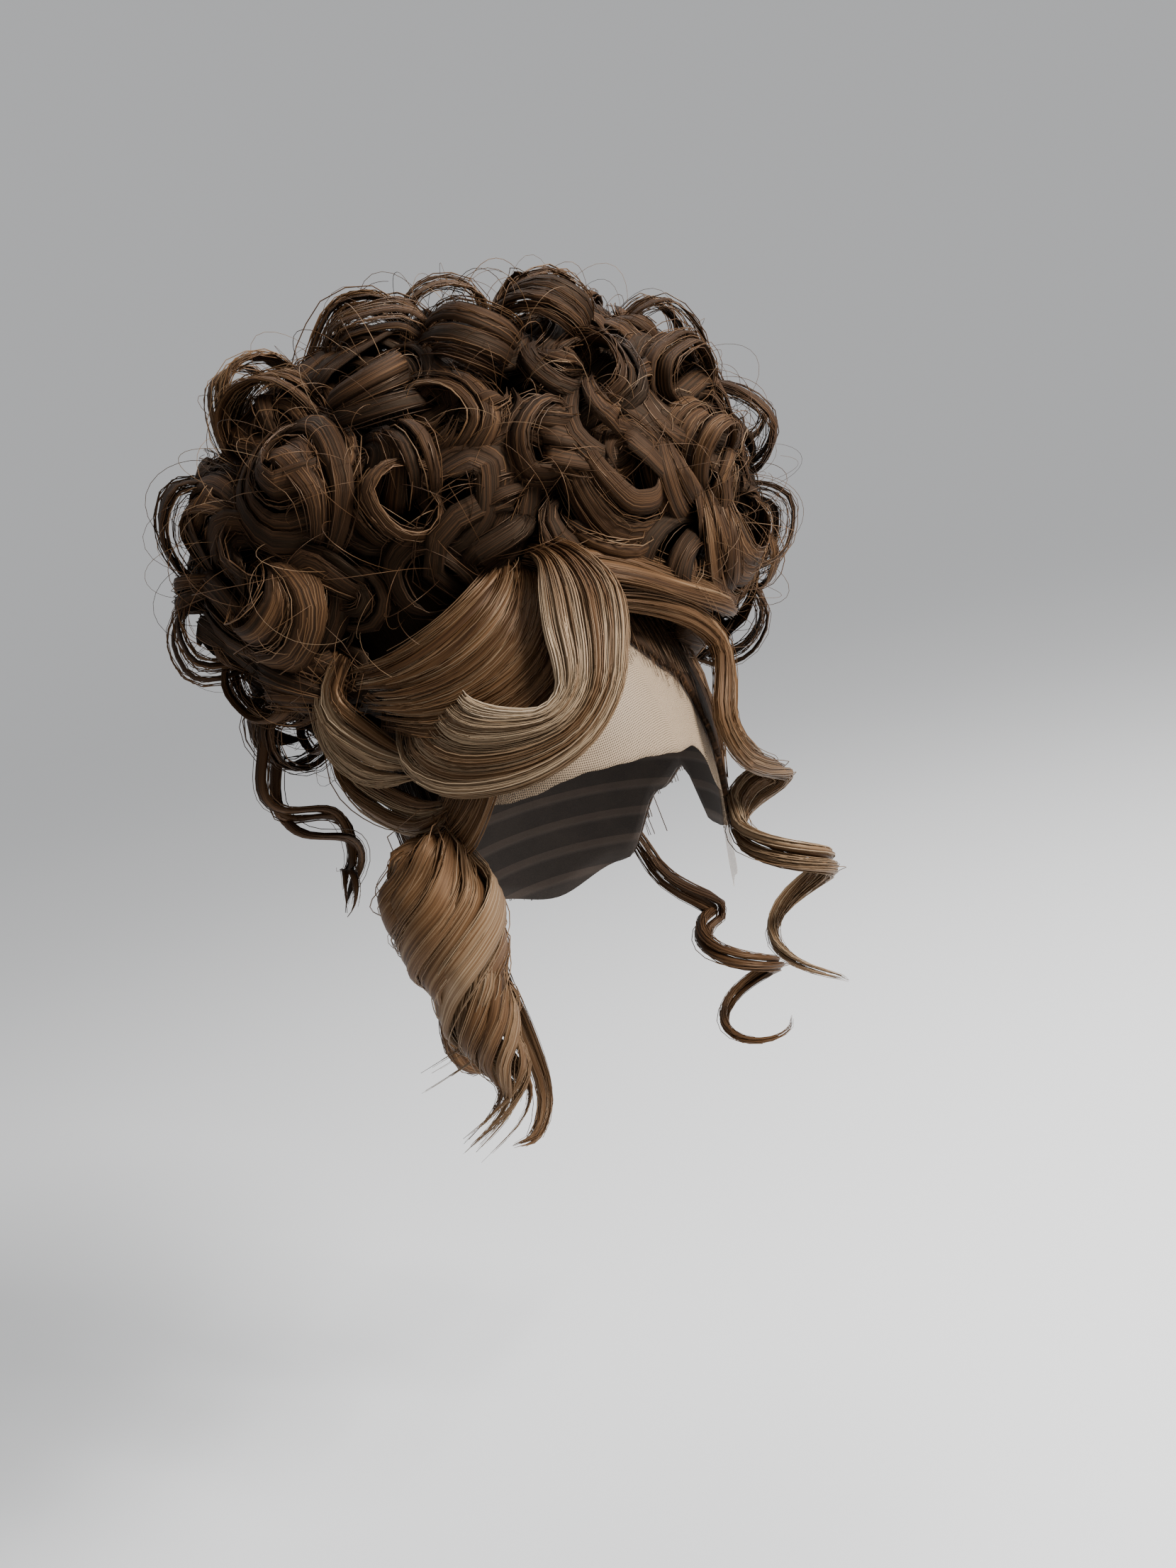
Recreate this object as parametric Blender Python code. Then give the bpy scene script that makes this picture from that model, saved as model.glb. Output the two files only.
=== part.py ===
"""Updo wig with a lace front, in metres, +Z up.

The wearer looks along -Y and the viewer's right is +X. The origin is the inside top of the cap,
where the crown of a head seats. Azimuths are degrees round the head from the face towards +X.
"""

import math

import bpy
import bmesh
import numpy as np

# Head form that the cap fits
HEAD_WIDTH = 0.156
HEAD_LENGTH = 0.196
CROWN_HEIGHT = 0.108
HEAD_TAPER = 0.10

# Cap, lace and the hair combed over the cap
CAP_DEPTH = 0.190
CAP_WALL = 0.0015
LACE_WALL = 0.0010
BASE_EDGE = 0.0025
BASE_CROWN = 0.009
BASE_RIDGE = 0.0015
BASE_SECTIONS = 9

# Pile of curls
PILE_ACROSS = 0.005
PILE_BEHIND = 0.035
PILE_ABOVE = 0.030
PILE_HALF_WIDTH = 0.141
PILE_HALF_DEPTH = 0.086
PILE_TOP = 0.096
PILE_BOTTOM = 0.118
CURL_RADIUS = 0.024
CURL_RIBBON = 0.020
CURL_THICKNESS = 0.0060

# Loose locks
LOCK_LIFT = 0.030
SWOOP_WIDTH = 0.038
PANEL_WIDTH = 0.060
TURN_WIDTH = 0.030
BAND_WIDTH = 0.036
RINGLET_WIDTH = 0.022
TENDRIL_WIDTH = 0.012
LOCK_THICKNESS = 0.0070
FINE_THICKNESS = 0.0050
RINGLET_RADIUS = 0.025
NAPE_CURL_RADIUS = 0.021
RINGLET_LENGTH = 0.135
NAPE_LENGTH = 0.120

# Clearances that keep the pieces apart
CLEARANCE = 0.0004
POCKET_CLEARANCE = 0.0006

# How finely the shells and the ribbons are cut
COLUMNS = 36
RINGS = 7
LACE_RINGS = 3
LACE_COLUMNS = 8
LOCK_STEPS = 3
RINGLET_STEPS = 2
RINGLET_ROWS = 6
CURL_STEPS = 9
PILE_TRIANGLES = 5000

LENS = ((1.0, 0.0), (0.55, 1.0), (-0.55, 1.0), (-1.0, 0.0), (-0.55, -1.0), (0.55, -1.0))
STRAP = ((1.0, 0.8), (-1.0, 0.8), (-1.0, -0.8), (1.0, -0.8))

# Edges of the cap and of the lace: azimuth from the face, drop as a share of CAP_DEPTH
HAIRLINE = (
    (0, 0.22),
    (30, 0.20),
    (50, 0.32),
    (66, 0.58),
    (80, 0.80),
    (92, 0.80),
    (105, 0.64),
    (122, 0.72),
    (145, 0.93),
    (180, 1.00),
)
LACE_HEM = (
    (0, 0.47),
    (40, 0.50),
    (60, 0.66),
    (74, 0.93),
    (80, 0.98),
)

# Ribbon paths on the head: azimuth, drop (share of CAP_DEPTH), lift (share of LOCK_LIFT), width share
FRINGE_SWOOP = (
    (2, -0.06, 0.80, 0.45),
    (10, -0.04, 1.04, 0.65),
    (12, 0.03, 1.12, 0.85),
    (9, 0.12, 1.06, 1.00),
    (4, 0.21, 1.00, 1.05),
    (-3, 0.30, 0.92, 1.05),
    (-14, 0.36, 0.84, 1.00),
    (-29, 0.37, 0.80, 1.00),
    (-42, 0.32, 0.86, 0.90),
    (-50, 0.23, 0.98, 0.65),
)
FRINGE_PANEL = (
    (8, -0.08, 0.60, 0.35),
    (-1, 0.00, 0.64, 0.75),
    (-14, 0.07, 0.64, 1.05),
    (-30, 0.14, 0.64, 1.10),
    (-47, 0.19, 0.74, 0.95),
    (-61, 0.19, 0.98, 0.75),
    (-71, 0.14, 1.25, 0.50),
)
FRINGE_CURL = (
    (-76, 0.06, 1.45, 0.60),
    (-79, 0.15, 1.50, 0.90),
    (-76, 0.25, 1.30, 1.00),
    (-66, 0.33, 0.95, 1.00),
    (-54, 0.37, 0.62, 0.70),
)
TEMPLE_CURL_LEFT = (
    (-80, 0.27, 1.25, 0.50),
    (-79, 0.37, 1.05, 0.75),
    (-70, 0.45, 0.72, 0.80),
    (-58, 0.49, 0.56, 0.70),
    (-47, 0.47, 0.52, 0.45),
)
SIDE_SWEEP_RIGHT = (
    (8, -0.05, 0.72, 0.55),
    (24, -0.01, 0.80, 0.80),
    (42, 0.04, 0.85, 1.00),
    (58, 0.11, 0.95, 1.00),
    (70, 0.18, 1.25, 0.85),
    (80, 0.22, 1.70, 0.60),
)
TEMPLE_WAVE_RIGHT = (
    (24, 0.09, 0.62, 0.55),
    (42, 0.13, 0.70, 0.75),
    (55, 0.19, 0.85, 0.85),
    (62, 0.28, 0.92, 0.90),
    (60, 0.38, 0.72, 0.95),
    (55, 0.47, 0.52, 1.00),
    (58, 0.56, 0.60, 1.00),
)
LEFT_LEAD = (
    (-39, 0.42, 0.40, 0.45),
    (-46, 0.50, 0.45, 0.70),
    (-54, 0.56, 0.50, 1.00),
)
NAPE_RIGHT_LEAD = (
    (140, 0.86, 0.10, 0.60),
    (132, 1.02, 0.45, 0.80),
)
NAPE_LEFT_LEAD = (
    (-146, 0.88, 0.10, 0.70),
    (-140, 1.10, 0.30, 0.95),
    (-138, 1.34, 0.25, 1.00),
    (-134, 1.52, 0.40, 0.85),
    (-118, 1.60, 0.75, 0.60),
    (-106, 1.58, 1.20, 0.35),
)
NAPE_ROLL = (
    (-138, 0.80, 0.10, 0.70),
    (-122, 0.98, 0.50, 0.90),
    (-112, 1.16, 0.90, 1.00),
    (-110, 1.27, 1.10, 1.00),
    (-117, 1.33, 0.85, 0.90),
    (-126, 1.28, 0.65, 0.60),
)
SIDE_TENDRIL = (
    (-98, 0.18, 2.40, 0.60),
    (-102, 0.36, 2.15, 1.00),
    (-106, 0.52, 1.60, 1.00),
    (-107, 0.66, 1.15, 0.85),
    (-102, 0.76, 1.75, 0.60),
)

# Ringlets: axis as shares of half the head's width and length, top as a share of CAP_DEPTH,
# length as a share of its own length, radii as shares of its own radius, turns, phase in degrees
RINGLETS = {
    "face_ringlet_right": {
        "across": 1.24, "forward": 0.46, "top": 0.68, "length": 0.84,
        "wide": 1.0, "narrow": 0.62, "turns": 1.75, "phase": 150, "width": 1.0,
    },
    "face_ringlet_left": {
        "across": -1.05, "forward": 0.76, "top": 0.62, "length": 0.88,
        "wide": 1.0, "narrow": 0.55, "turns": 3.5, "phase": -20, "width": 1.4,
    },
    "nape_ringlet_right": {
        "across": 1.20, "forward": -0.60, "top": 1.18, "length": 0.80,
        "wide": 1.0, "narrow": 0.80, "turns": 1.5, "phase": 190, "width": 0.85,
    },
}

# Curls on the front of the pile: azimuth, elevation, radius share, turns, tilt, spin
FRONT_CURLS = (
    (-40, 24, 1.35, 1.3, 35, 20),
    (-26, 46, 1.00, 1.2, 50, 100),
    (-12, 30, 1.00, 1.3, 25, 200),
    (4, 52, 1.05, 1.2, 60, 40),
    (8, 14, 0.95, 1.2, 30, 300),
    (22, 3, 1.30, 1.3, 15, 60),
    (26, 34, 1.05, 1.2, 55, 150),
    (42, 4, 1.00, 1.2, 40, 250),
    (52, -20, 1.00, 1.2, 45, 10),
    (-20, 8, 0.95, 1.2, 40, 330),
    (-52, -2, 1.15, 1.3, 30, 80),
    (-36, -20, 0.95, 1.2, 50, 170),
    (50, 26, 1.05, 1.2, 60, 230),
    (-60, 42, 1.10, 1.2, 60, 300),
    (36, 56, 1.05, 1.2, 65, 20),
    (-60, -26, 1.00, 1.2, 55, 240),
)
# Curls on the sides and over the top, with the same columns
RIM_CURLS = (
    (-86, 20, 1.15, 1.2, 80, 165),
    (-88, -6, 1.10, 1.2, 75, 200),
    (-90, -34, 1.15, 1.2, 80, 150),
    (-74, -22, 1.00, 1.2, 50, 30),
    (86, 12, 1.10, 1.2, 65, 15),
    (82, -18, 1.05, 1.2, 85, 345),
    (88, -40, 1.15, 1.2, 80, 20),
    (76, 40, 1.20, 1.2, 80, 30),
    (62, 66, 1.15, 1.2, 85, 40),
    (10, 80, 1.05, 1.2, 80, 75),
    (-60, 72, 1.40, 1.2, 85, 140),
    (-84, 50, 1.15, 1.2, 75, 190),
    (-120, 74, 1.15, 1.2, 75, 40),
    (140, 70, 1.15, 1.2, 70, 140),
    (-30, 66, 1.10, 1.2, 75, 100),
    (100, 62, 1.10, 1.2, 80, 60),
    (150, -40, 1.05, 1.2, 50, 100),
    (-150, -42, 1.05, 1.2, 50, 300),
    (180, -30, 1.15, 1.2, 35, 30),
    (116, -48, 1.00, 1.2, 60, 200),
    (-118, -50, 1.00, 1.2, 60, 20),
)


def eased(table, value):
    """Reads a two-column table, turning gently at each row."""
    for (x0, y0), (x1, y1) in zip(table, table[1:]):
        if value <= x1:
            share = max(0.0, (value - x0) / (x1 - x0))
            return y0 + (y1 - y0) * share * share * (3 - 2 * share)
    return table[-1][1]


def head_angle(depth, lift=0.0):
    """Degrees from the crown at which a surface lifted off the head is this far below the top."""
    if depth < CROWN_HEIGHT:
        return math.degrees(math.acos(min(1.0, (CROWN_HEIGHT - depth) / (CROWN_HEIGHT + lift))))
    return 90 + 90 * (depth - CROWN_HEIGHT) / CROWN_HEIGHT


def head_point(azimuth, angle, lift):
    """A point lifted off the head form: a dome to its widest level, then a slow taper."""
    if angle <= 90:
        height = (CROWN_HEIGHT + lift) * math.cos(math.radians(angle)) - CROWN_HEIGHT
        reach = math.sin(math.radians(angle))
    else:
        below = (angle - 90) / 90
        height = -CROWN_HEIGHT * (1 + below)
        reach = 1 - HEAD_TAPER * below * below
    turn = math.radians(azimuth)
    across = (HEAD_WIDTH / 2 + lift) * reach * math.sin(turn)
    forward = (HEAD_LENGTH / 2 + lift) * reach * math.cos(turn)
    return np.array((across, -forward, height))


def edge_angle(table, azimuth):
    """Degrees from the crown of an edge table, the same on both sides of the head."""
    around = abs((azimuth + 180) % 360 - 180)
    return head_angle(eased(table, around) * CAP_DEPTH)


def base_lift(azimuth, angle):
    """Outer surface of the combed hair: thin at the hairline, full at the crown, in swept sections."""
    share = min(1.0, angle / edge_angle(HAIRLINE, azimuth))
    body = BASE_EDGE + (BASE_CROWN - BASE_EDGE) * (1 - share * share)
    fade = math.sin(math.pi * share) ** 2
    ridge = BASE_RIDGE * fade * math.cos(math.radians(BASE_SECTIONS * azimuth))
    return CAP_WALL + CLEARANCE + body + ridge


def material(name, colour, roughness):
    made = bpy.data.materials.new(name)
    made.use_nodes = True
    shader = made.node_tree.nodes["Principled BSDF"]
    shader.inputs["Base Color"].default_value = (*colour, 1.0)
    shader.inputs["Roughness"].default_value = roughness
    shader.inputs["Metallic"].default_value = 0.0
    made.diffuse_color = (*colour, 1.0)
    return made


def add_object(name, vertices, faces, finish=None):
    mesh = bpy.data.meshes.new(name)
    mesh.from_pydata([tuple(v) for v in vertices], [], faces)
    shape = bmesh.new()
    shape.from_mesh(mesh)
    bmesh.ops.recalc_face_normals(shape, faces=shape.faces)
    if shape.calc_volume(signed=True) < 0:
        bmesh.ops.reverse_faces(shape, faces=shape.faces)
    shape.to_mesh(mesh)
    shape.free()
    mesh.shade_smooth()
    if finish:
        mesh.materials.append(finish)
    made = bpy.data.objects.new(name, mesh)
    bpy.context.scene.collection.objects.link(made)
    return made


def sheet_faces(rows, columns, wrap, start=0):
    """Triangles of a grid of points, with the same diagonal everywhere so that nested grids match."""
    faces = []
    for row in range(rows - 1):
        for column in range(columns if wrap else columns - 1):
            a = start + row * columns + column
            b = start + row * columns + (column + 1) % columns
            c = b + columns
            d = a + columns
            faces += [(a, b, c), (a, c, d)]
    return faces


def dome(azimuths, angles, lift):
    """Grid of points down the head, a row for each share of the way from the crown."""
    return [head_point(a, angle, lift(a, angle)) for angle_row in angles
            for a, angle in zip(azimuths, angle_row)]


def head_shell(name, inner, outer, finish):
    """A dome from the crown to the hairline between two lifts."""
    azimuths = [360 * i / COLUMNS for i in range(COLUMNS)]
    edges = [edge_angle(HAIRLINE, a) for a in azimuths]
    angles = [[edge * row / RINGS for edge in edges] for row in range(1, RINGS + 1)]
    points = []
    faces = []
    for lift in (outer, inner):
        start = len(points)
        points += dome(azimuths, angles, lift)
        points.append(head_point(0, 0, lift(0, 0)))
        tip = len(points) - 1
        sides = sheet_faces(RINGS, COLUMNS, True, start)
        crown = [(tip, start + (i + 1) % COLUMNS, start + i) for i in range(COLUMNS)]
        faces += sides + crown
    half = len(points) // 2
    rim = (RINGS - 1) * COLUMNS
    for i in range(COLUMNS):
        a = rim + i
        b = rim + (i + 1) % COLUMNS
        faces += [(a, b, b + half), (a, b + half, a + half)]
    return add_object(name, points, faces, finish)


def make_cap():
    net = material("cap", (0.02, 0.015, 0.012), 0.8)
    return head_shell("cap", lambda a, t: 0.0, lambda a, t: CAP_WALL, net)


def make_hair_base():
    hair = material("hair_base", (0.05, 0.03, 0.02), 0.5)
    return head_shell("hair_base", lambda a, t: CAP_WALL + CLEARANCE, base_lift, hair)


def make_lace():
    """The strip of net between the cap's front edge and its hem, with the ear tabs at its ends."""
    step = 360 / COLUMNS
    azimuths = [step * i for i in range(-LACE_COLUMNS, LACE_COLUMNS + 1)]
    seam = math.degrees(CLEARANCE / CROWN_HEIGHT)
    angles = []
    for row in range(LACE_RINGS + 1):
        share = row / LACE_RINGS
        tops = [edge_angle(HAIRLINE, a) + seam for a in azimuths]
        hems = [edge_angle(LACE_HEM, a) for a in azimuths]
        angles.append([top + (hem - top) * share for top, hem in zip(tops, hems)])
    outer = dome(azimuths, angles, lambda a, t: LACE_WALL)
    inner = dome(azimuths, angles, lambda a, t: 0.0)
    columns = len(azimuths)
    rows = LACE_RINGS + 1
    half = rows * columns
    faces = sheet_faces(rows, columns, False) + sheet_faces(rows, columns, False, half)
    top = list(range(columns))
    right = [columns - 1 + columns * row for row in range(rows)]
    bottom = [columns * (rows - 1) + i for i in range(columns)][::-1]
    left = [columns * row for row in range(rows)][::-1]
    ring = top + right[1:] + bottom[1:] + left[1:-1]
    for a, b in zip(ring, ring[1:] + ring[:1]):
        faces += [(a, b, b + half), (a, b + half, a + half)]
    return add_object("lace_front", outer + inner, faces, material("lace_front", (0.55, 0.42, 0.31), 0.7))


def make_head_clearance():
    """Everything that the cap, the combed hair and the lace take up, and the head inside them."""
    azimuths = [360 * i / COLUMNS for i in range(COLUMNS)]
    edges = [edge_angle(HAIRLINE, a) for a in azimuths]
    seam = math.degrees(CLEARANCE / CROWN_HEIGHT)
    floor = head_angle(CAP_DEPTH * 1.10)
    rows = [[edge * row / RINGS for edge in edges] for row in range(1, RINGS + 1)]
    points = [head_point(a, angle, base_lift(a, angle) + CLEARANCE)
              for angle_row in rows for a, angle in zip(azimuths, angle_row)]
    for share in (0.0, 0.35, 0.70, 1.0):
        for a, edge in zip(azimuths, edges):
            angle = edge + seam * 2 + (floor - edge) * share
            points.append(head_point(a, angle, LACE_WALL + CLEARANCE))
    faces = sheet_faces(RINGS + 4, COLUMNS, True)
    points.append(head_point(0, 0, base_lift(0, 0) + CLEARANCE))
    tip = len(points) - 1
    faces += [(tip, (i + 1) % COLUMNS, i) for i in range(COLUMNS)]
    last = (RINGS + 3) * COLUMNS
    faces.append([last + i for i in range(COLUMNS)])
    return add_object("head_clearance", points, faces)


def smooth_path(rows, steps):
    """Points on a smooth curve through the rows."""
    knots = np.array(rows, dtype=float)
    before = 2 * knots[0] - knots[1]
    after = 2 * knots[-1] - knots[-2]
    knots = np.vstack((before, knots, after))
    path = []
    for a, b, c, d in zip(knots, knots[1:], knots[2:], knots[3:]):
        for step in range(steps):
            t = step / steps
            path.append(0.5 * (2 * b + (c - a) * t + (2 * a - 5 * b + 4 * c - d) * t * t
                               + (3 * b - a - 3 * c + d) * t ** 3))
    path.append(knots[-2])
    return np.array(path)


def unit(vectors):
    return vectors / np.linalg.norm(vectors, axis=-1, keepdims=True)


def head_rows(table):
    """Rows of position, facing and width share for a ribbon laid over the head."""
    rows = []
    for azimuth, drop, lift, width in table:
        height = lift * LOCK_LIFT
        angle = head_angle(drop * CAP_DEPTH, height)
        point = head_point(azimuth, angle, height)
        facing = unit(head_point(azimuth, angle, height + HEAD_WIDTH) - point)
        rows.append((*point, *facing, width))
    return rows


def ringlet_rows(shape, length, radius):
    """Rows down a ringlet's helix, whose ribbon faces away from the ringlet's axis."""
    across = shape["across"] * HEAD_WIDTH / 2
    forward = shape["forward"] * HEAD_LENGTH / 2
    top = -shape["top"] * CAP_DEPTH
    rows = []
    count = round(shape["turns"] * RINGLET_ROWS)
    for step in range(count + 1):
        share = step / count
        turn = math.radians(shape["phase"] + 360 * shape["turns"] * share)
        out = np.array((math.sin(turn), -math.cos(turn), 0.0))
        reach = radius * (shape["wide"] + (shape["narrow"] - shape["wide"]) * share)
        centre = np.array((across, -forward, top - share * shape["length"] * length))
        width = shape["width"] * min(1.0, 1.25 - share * 0.8)
        rows.append((*(centre + out * reach), *out, width))
    return rows


def ribbon_mesh(path, width, thickness, section, slack=0.0):
    """Points and faces of a ribbon along rows of position, facing and width share."""
    points = path[:, :3]
    tangents = unit(np.gradient(points, axis=0))
    facings = path[:, 3:6]
    facings = unit(facings - (facings * tangents).sum(axis=1, keepdims=True) * tangents)
    sides = np.cross(tangents, facings)
    halves = path[:, 6] * width / 2 + slack
    depths = np.minimum(thickness, path[:, 6] * thickness * 1.4) / 2 + slack
    points = points.copy()
    points[0] -= tangents[0] * slack
    points[-1] += tangents[-1] * slack
    vertices = []
    for point, side, facing, half, depth in zip(points, sides, facings, halves, depths):
        vertices += [point + side * half * u + facing * depth * v for u, v in section]
    count = len(section)
    faces = sheet_faces(len(points), count, True)
    last = len(vertices) - count
    faces.append(tuple(range(count)))
    faces.append(tuple(last + i for i in range(count))[::-1])
    return vertices, faces


def boolean(target, operation, tool=None, group=None):
    """Applies one EXACT Boolean with an object or a collection."""
    step = target.modifiers.new(operation.title(), "BOOLEAN")
    step.operation = operation
    step.solver = "EXACT"
    if group:
        step.operand_type = "COLLECTION"
        step.collection = group
    else:
        step.object = tool
    apply_modifier(target, step)


def apply_modifier(target, step):
    graph = bpy.context.evaluated_depsgraph_get()
    mesh = bpy.data.meshes.new_from_object(target.evaluated_get(graph), depsgraph=graph)
    old = target.data
    target.modifiers.remove(step)
    target.data = mesh
    bpy.data.meshes.remove(old)


def simplify(target, triangles):
    """Merges the slivers that a union leaves, down to about this many triangles."""
    target.data.calc_loop_triangles()
    step = target.modifiers.new("Simplify", "DECIMATE")
    step.ratio = min(1.0, triangles / len(target.data.loop_triangles))
    step.use_collapse_triangulate = True
    apply_modifier(target, step)


def keep_main_body(target):
    """Drops crumbs and closed pockets that a Boolean leaves, keeping the largest surface."""
    shape = bmesh.new()
    shape.from_mesh(target.data)
    unseen = set(shape.verts)
    bodies = []
    while unseen:
        stack = [unseen.pop()]
        body = set(stack)
        while stack:
            for edge in stack.pop().link_edges:
                for vertex in edge.verts:
                    if vertex in unseen:
                        unseen.remove(vertex)
                        body.add(vertex)
                        stack.append(vertex)
        bodies.append(body)
    bodies.sort(key=body_reach)
    dropped = [vertex for body in bodies[:-1] for vertex in body]
    bmesh.ops.delete(shape, geom=dropped, context="VERTS")
    shape.to_mesh(target.data)
    shape.free()
    target.data.shade_smooth()


def body_reach(body):
    points = np.array([vertex.co for vertex in body])
    return float(np.linalg.norm(points.max(axis=0) - points.min(axis=0)))


def make_lock(name, path, width, thickness, head, earlier):
    """One ribbon of hair, cut clear of the head and of the locks made before it."""
    hair = material(name, (0.09, 0.055, 0.035), 0.45)
    lock = add_object(name, *ribbon_mesh(path, width, thickness, LENS), hair)
    boolean(lock, "DIFFERENCE", tool=head)
    for pocket in earlier:
        boolean(lock, "DIFFERENCE", tool=pocket)
    keep_main_body(lock)
    pocket = add_object(name + "_pocket", *ribbon_mesh(path, width, thickness, LENS, POCKET_CLEARANCE))
    earlier.append(pocket)
    return lock


def ringlet_lock(name, lead, length, radius, width, head, earlier):
    rows = head_rows(lead) + ringlet_rows(RINGLETS[name], length, radius)
    path = smooth_path(rows, RINGLET_STEPS)
    return make_lock(name, path, width, LOCK_THICKNESS, head, earlier)


def make_locks(head):
    """Every loose lock; returns the pockets that the pile leaves for their roots."""
    pockets = []
    laid = (
        ("fringe_swoop", FRINGE_SWOOP, SWOOP_WIDTH, LOCK_THICKNESS),
        ("fringe_panel", FRINGE_PANEL, PANEL_WIDTH, LOCK_THICKNESS),
        ("fringe_curl", FRINGE_CURL, TURN_WIDTH, LOCK_THICKNESS),
        ("temple_curl_left", TEMPLE_CURL_LEFT, TURN_WIDTH, FINE_THICKNESS),
        ("side_sweep_right", SIDE_SWEEP_RIGHT, BAND_WIDTH, LOCK_THICKNESS),
        ("nape_lock_left", NAPE_LEFT_LEAD, RINGLET_WIDTH, FINE_THICKNESS),
        ("nape_roll_left", NAPE_ROLL, RINGLET_WIDTH, FINE_THICKNESS),
        ("side_tendril_left", SIDE_TENDRIL, TENDRIL_WIDTH, FINE_THICKNESS),
    )
    for name, table, width, thickness in laid:
        path = smooth_path(head_rows(table), LOCK_STEPS)
        make_lock(name, path, width, thickness, head, pockets)
    coiled = (
        ("face_ringlet_right", TEMPLE_WAVE_RIGHT, RINGLET_LENGTH, RINGLET_RADIUS),
        ("face_ringlet_left", LEFT_LEAD, RINGLET_LENGTH, RINGLET_RADIUS),
        ("nape_ringlet_right", NAPE_RIGHT_LEAD, NAPE_LENGTH, NAPE_CURL_RADIUS),
    )
    for name, lead, length, radius in coiled:
        ringlet_lock(name, lead, length, radius, RINGLET_WIDTH, head, pockets)
    return pockets


def pile_point(azimuth, elevation, lift=0.0):
    """A point on the pile's core, which is fuller below its middle than above it."""
    turn = math.radians(azimuth)
    rise = math.radians(elevation)
    tall = PILE_TOP if elevation > 0 else PILE_BOTTOM
    across = PILE_ACROSS + (PILE_HALF_WIDTH + lift) * math.cos(rise) * math.sin(turn)
    behind = PILE_BEHIND - (PILE_HALF_DEPTH + lift) * math.cos(rise) * math.cos(turn)
    return np.array((across, behind, PILE_ABOVE + (tall + lift) * math.sin(rise)))


def make_pile_core(finish):
    columns = 24
    rows = 11
    points = [pile_point(360 * i / columns, 90 - 180 * row / (rows + 1))
              for row in range(1, rows + 1) for i in range(columns)]
    points += [pile_point(0, 90), pile_point(0, -90)]
    faces = sheet_faces(rows, columns, True)
    tip = len(points) - 2
    foot = len(points) - 1
    last = (rows - 1) * columns
    faces += [(tip, (i + 1) % columns, i) for i in range(columns)]
    faces += [(foot, last + i, last + (i + 1) % columns) for i in range(columns)]
    return add_object("curl_pile", points, faces, finish)


def curl_path(azimuth, elevation, size, turns, tilt, spin):
    """Rows of one curl, which winds inwards about an axis tilted from the pile's outward direction."""
    centre = pile_point(azimuth, elevation, CURL_THICKNESS)
    out = unit(pile_point(azimuth, elevation, CURL_RADIUS) - centre)
    level = unit(np.cross((0.0, 0.0, 1.0), out))
    rise = np.cross(out, level)
    turn = math.radians(spin)
    lean = level * math.cos(turn) + rise * math.sin(turn)
    axis = out * math.cos(math.radians(tilt)) + lean * math.sin(math.radians(tilt))
    first = unit(np.cross(axis, lean + out * 0.01))
    second = np.cross(axis, first)
    rows = []
    count = round(turns * CURL_STEPS)
    for step in range(count + 1):
        share = step / count
        angle = math.radians(360 * turns * share)
        spoke = first * math.cos(angle) + second * math.sin(angle)
        reach = size * CURL_RADIUS * (1 - 0.45 * share)
        width = (0.55 + 0.45 * math.sin(math.pi * share)) * size
        point = centre + spoke * reach + axis * CURL_RIBBON * 0.3 * (share - 0.5)
        rows.append((*point, *spoke, width))
    return np.array(rows)


def all_curls():
    """The front curls, the same curls turned to the back, and those on the rim."""
    rows = list(FRONT_CURLS)
    rows += [(180 - azimuth, elevation, *rest) for azimuth, elevation, *rest in FRONT_CURLS]
    return rows + list(RIM_CURLS)


def make_pile(head, pockets):
    """Fuses the curls to the core, then cuts the pile clear of the head and of the locks."""
    hair = material("curl_pile", (0.05, 0.03, 0.02), 0.5)
    pile = make_pile_core(hair)
    curls = bpy.data.collections.new("curls")
    bpy.context.scene.collection.children.link(curls)
    for number, row in enumerate(all_curls()):
        mesh = ribbon_mesh(curl_path(*row), CURL_RIBBON, CURL_THICKNESS, STRAP)
        curl = add_object(f"curl_{number}", *mesh)
        bpy.context.scene.collection.objects.unlink(curl)
        curls.objects.link(curl)
    boolean(pile, "UNION", group=curls)
    keep_main_body(pile)
    simplify(pile, PILE_TRIANGLES)
    boolean(pile, "DIFFERENCE", tool=head)
    for pocket in pockets:
        boolean(pile, "DIFFERENCE", tool=pocket)
    keep_main_body(pile)
    for curl in list(curls.objects):
        bpy.data.objects.remove(curl)
    bpy.data.collections.remove(curls)
    return pile


def main():
    for thing in list(bpy.data.objects):
        bpy.data.objects.remove(thing)
    make_cap()
    make_hair_base()
    make_lace()
    head = make_head_clearance()
    pockets = make_locks(head)
    make_pile(head, pockets)
    for tool in [head, *pockets]:
        bpy.data.objects.remove(tool)


main()
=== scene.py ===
"""Looks of an updo wig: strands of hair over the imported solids, with the lace, cap, light and camera.

Metres, +Z up, and the wearer looks along -Y. Azimuths are degrees round the head from the face
towards +X, and elevations are degrees above the middle of the pile.
"""

import math
from dataclasses import dataclass

import bmesh
import bpy
import numpy as np
from mathutils import Matrix


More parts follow.
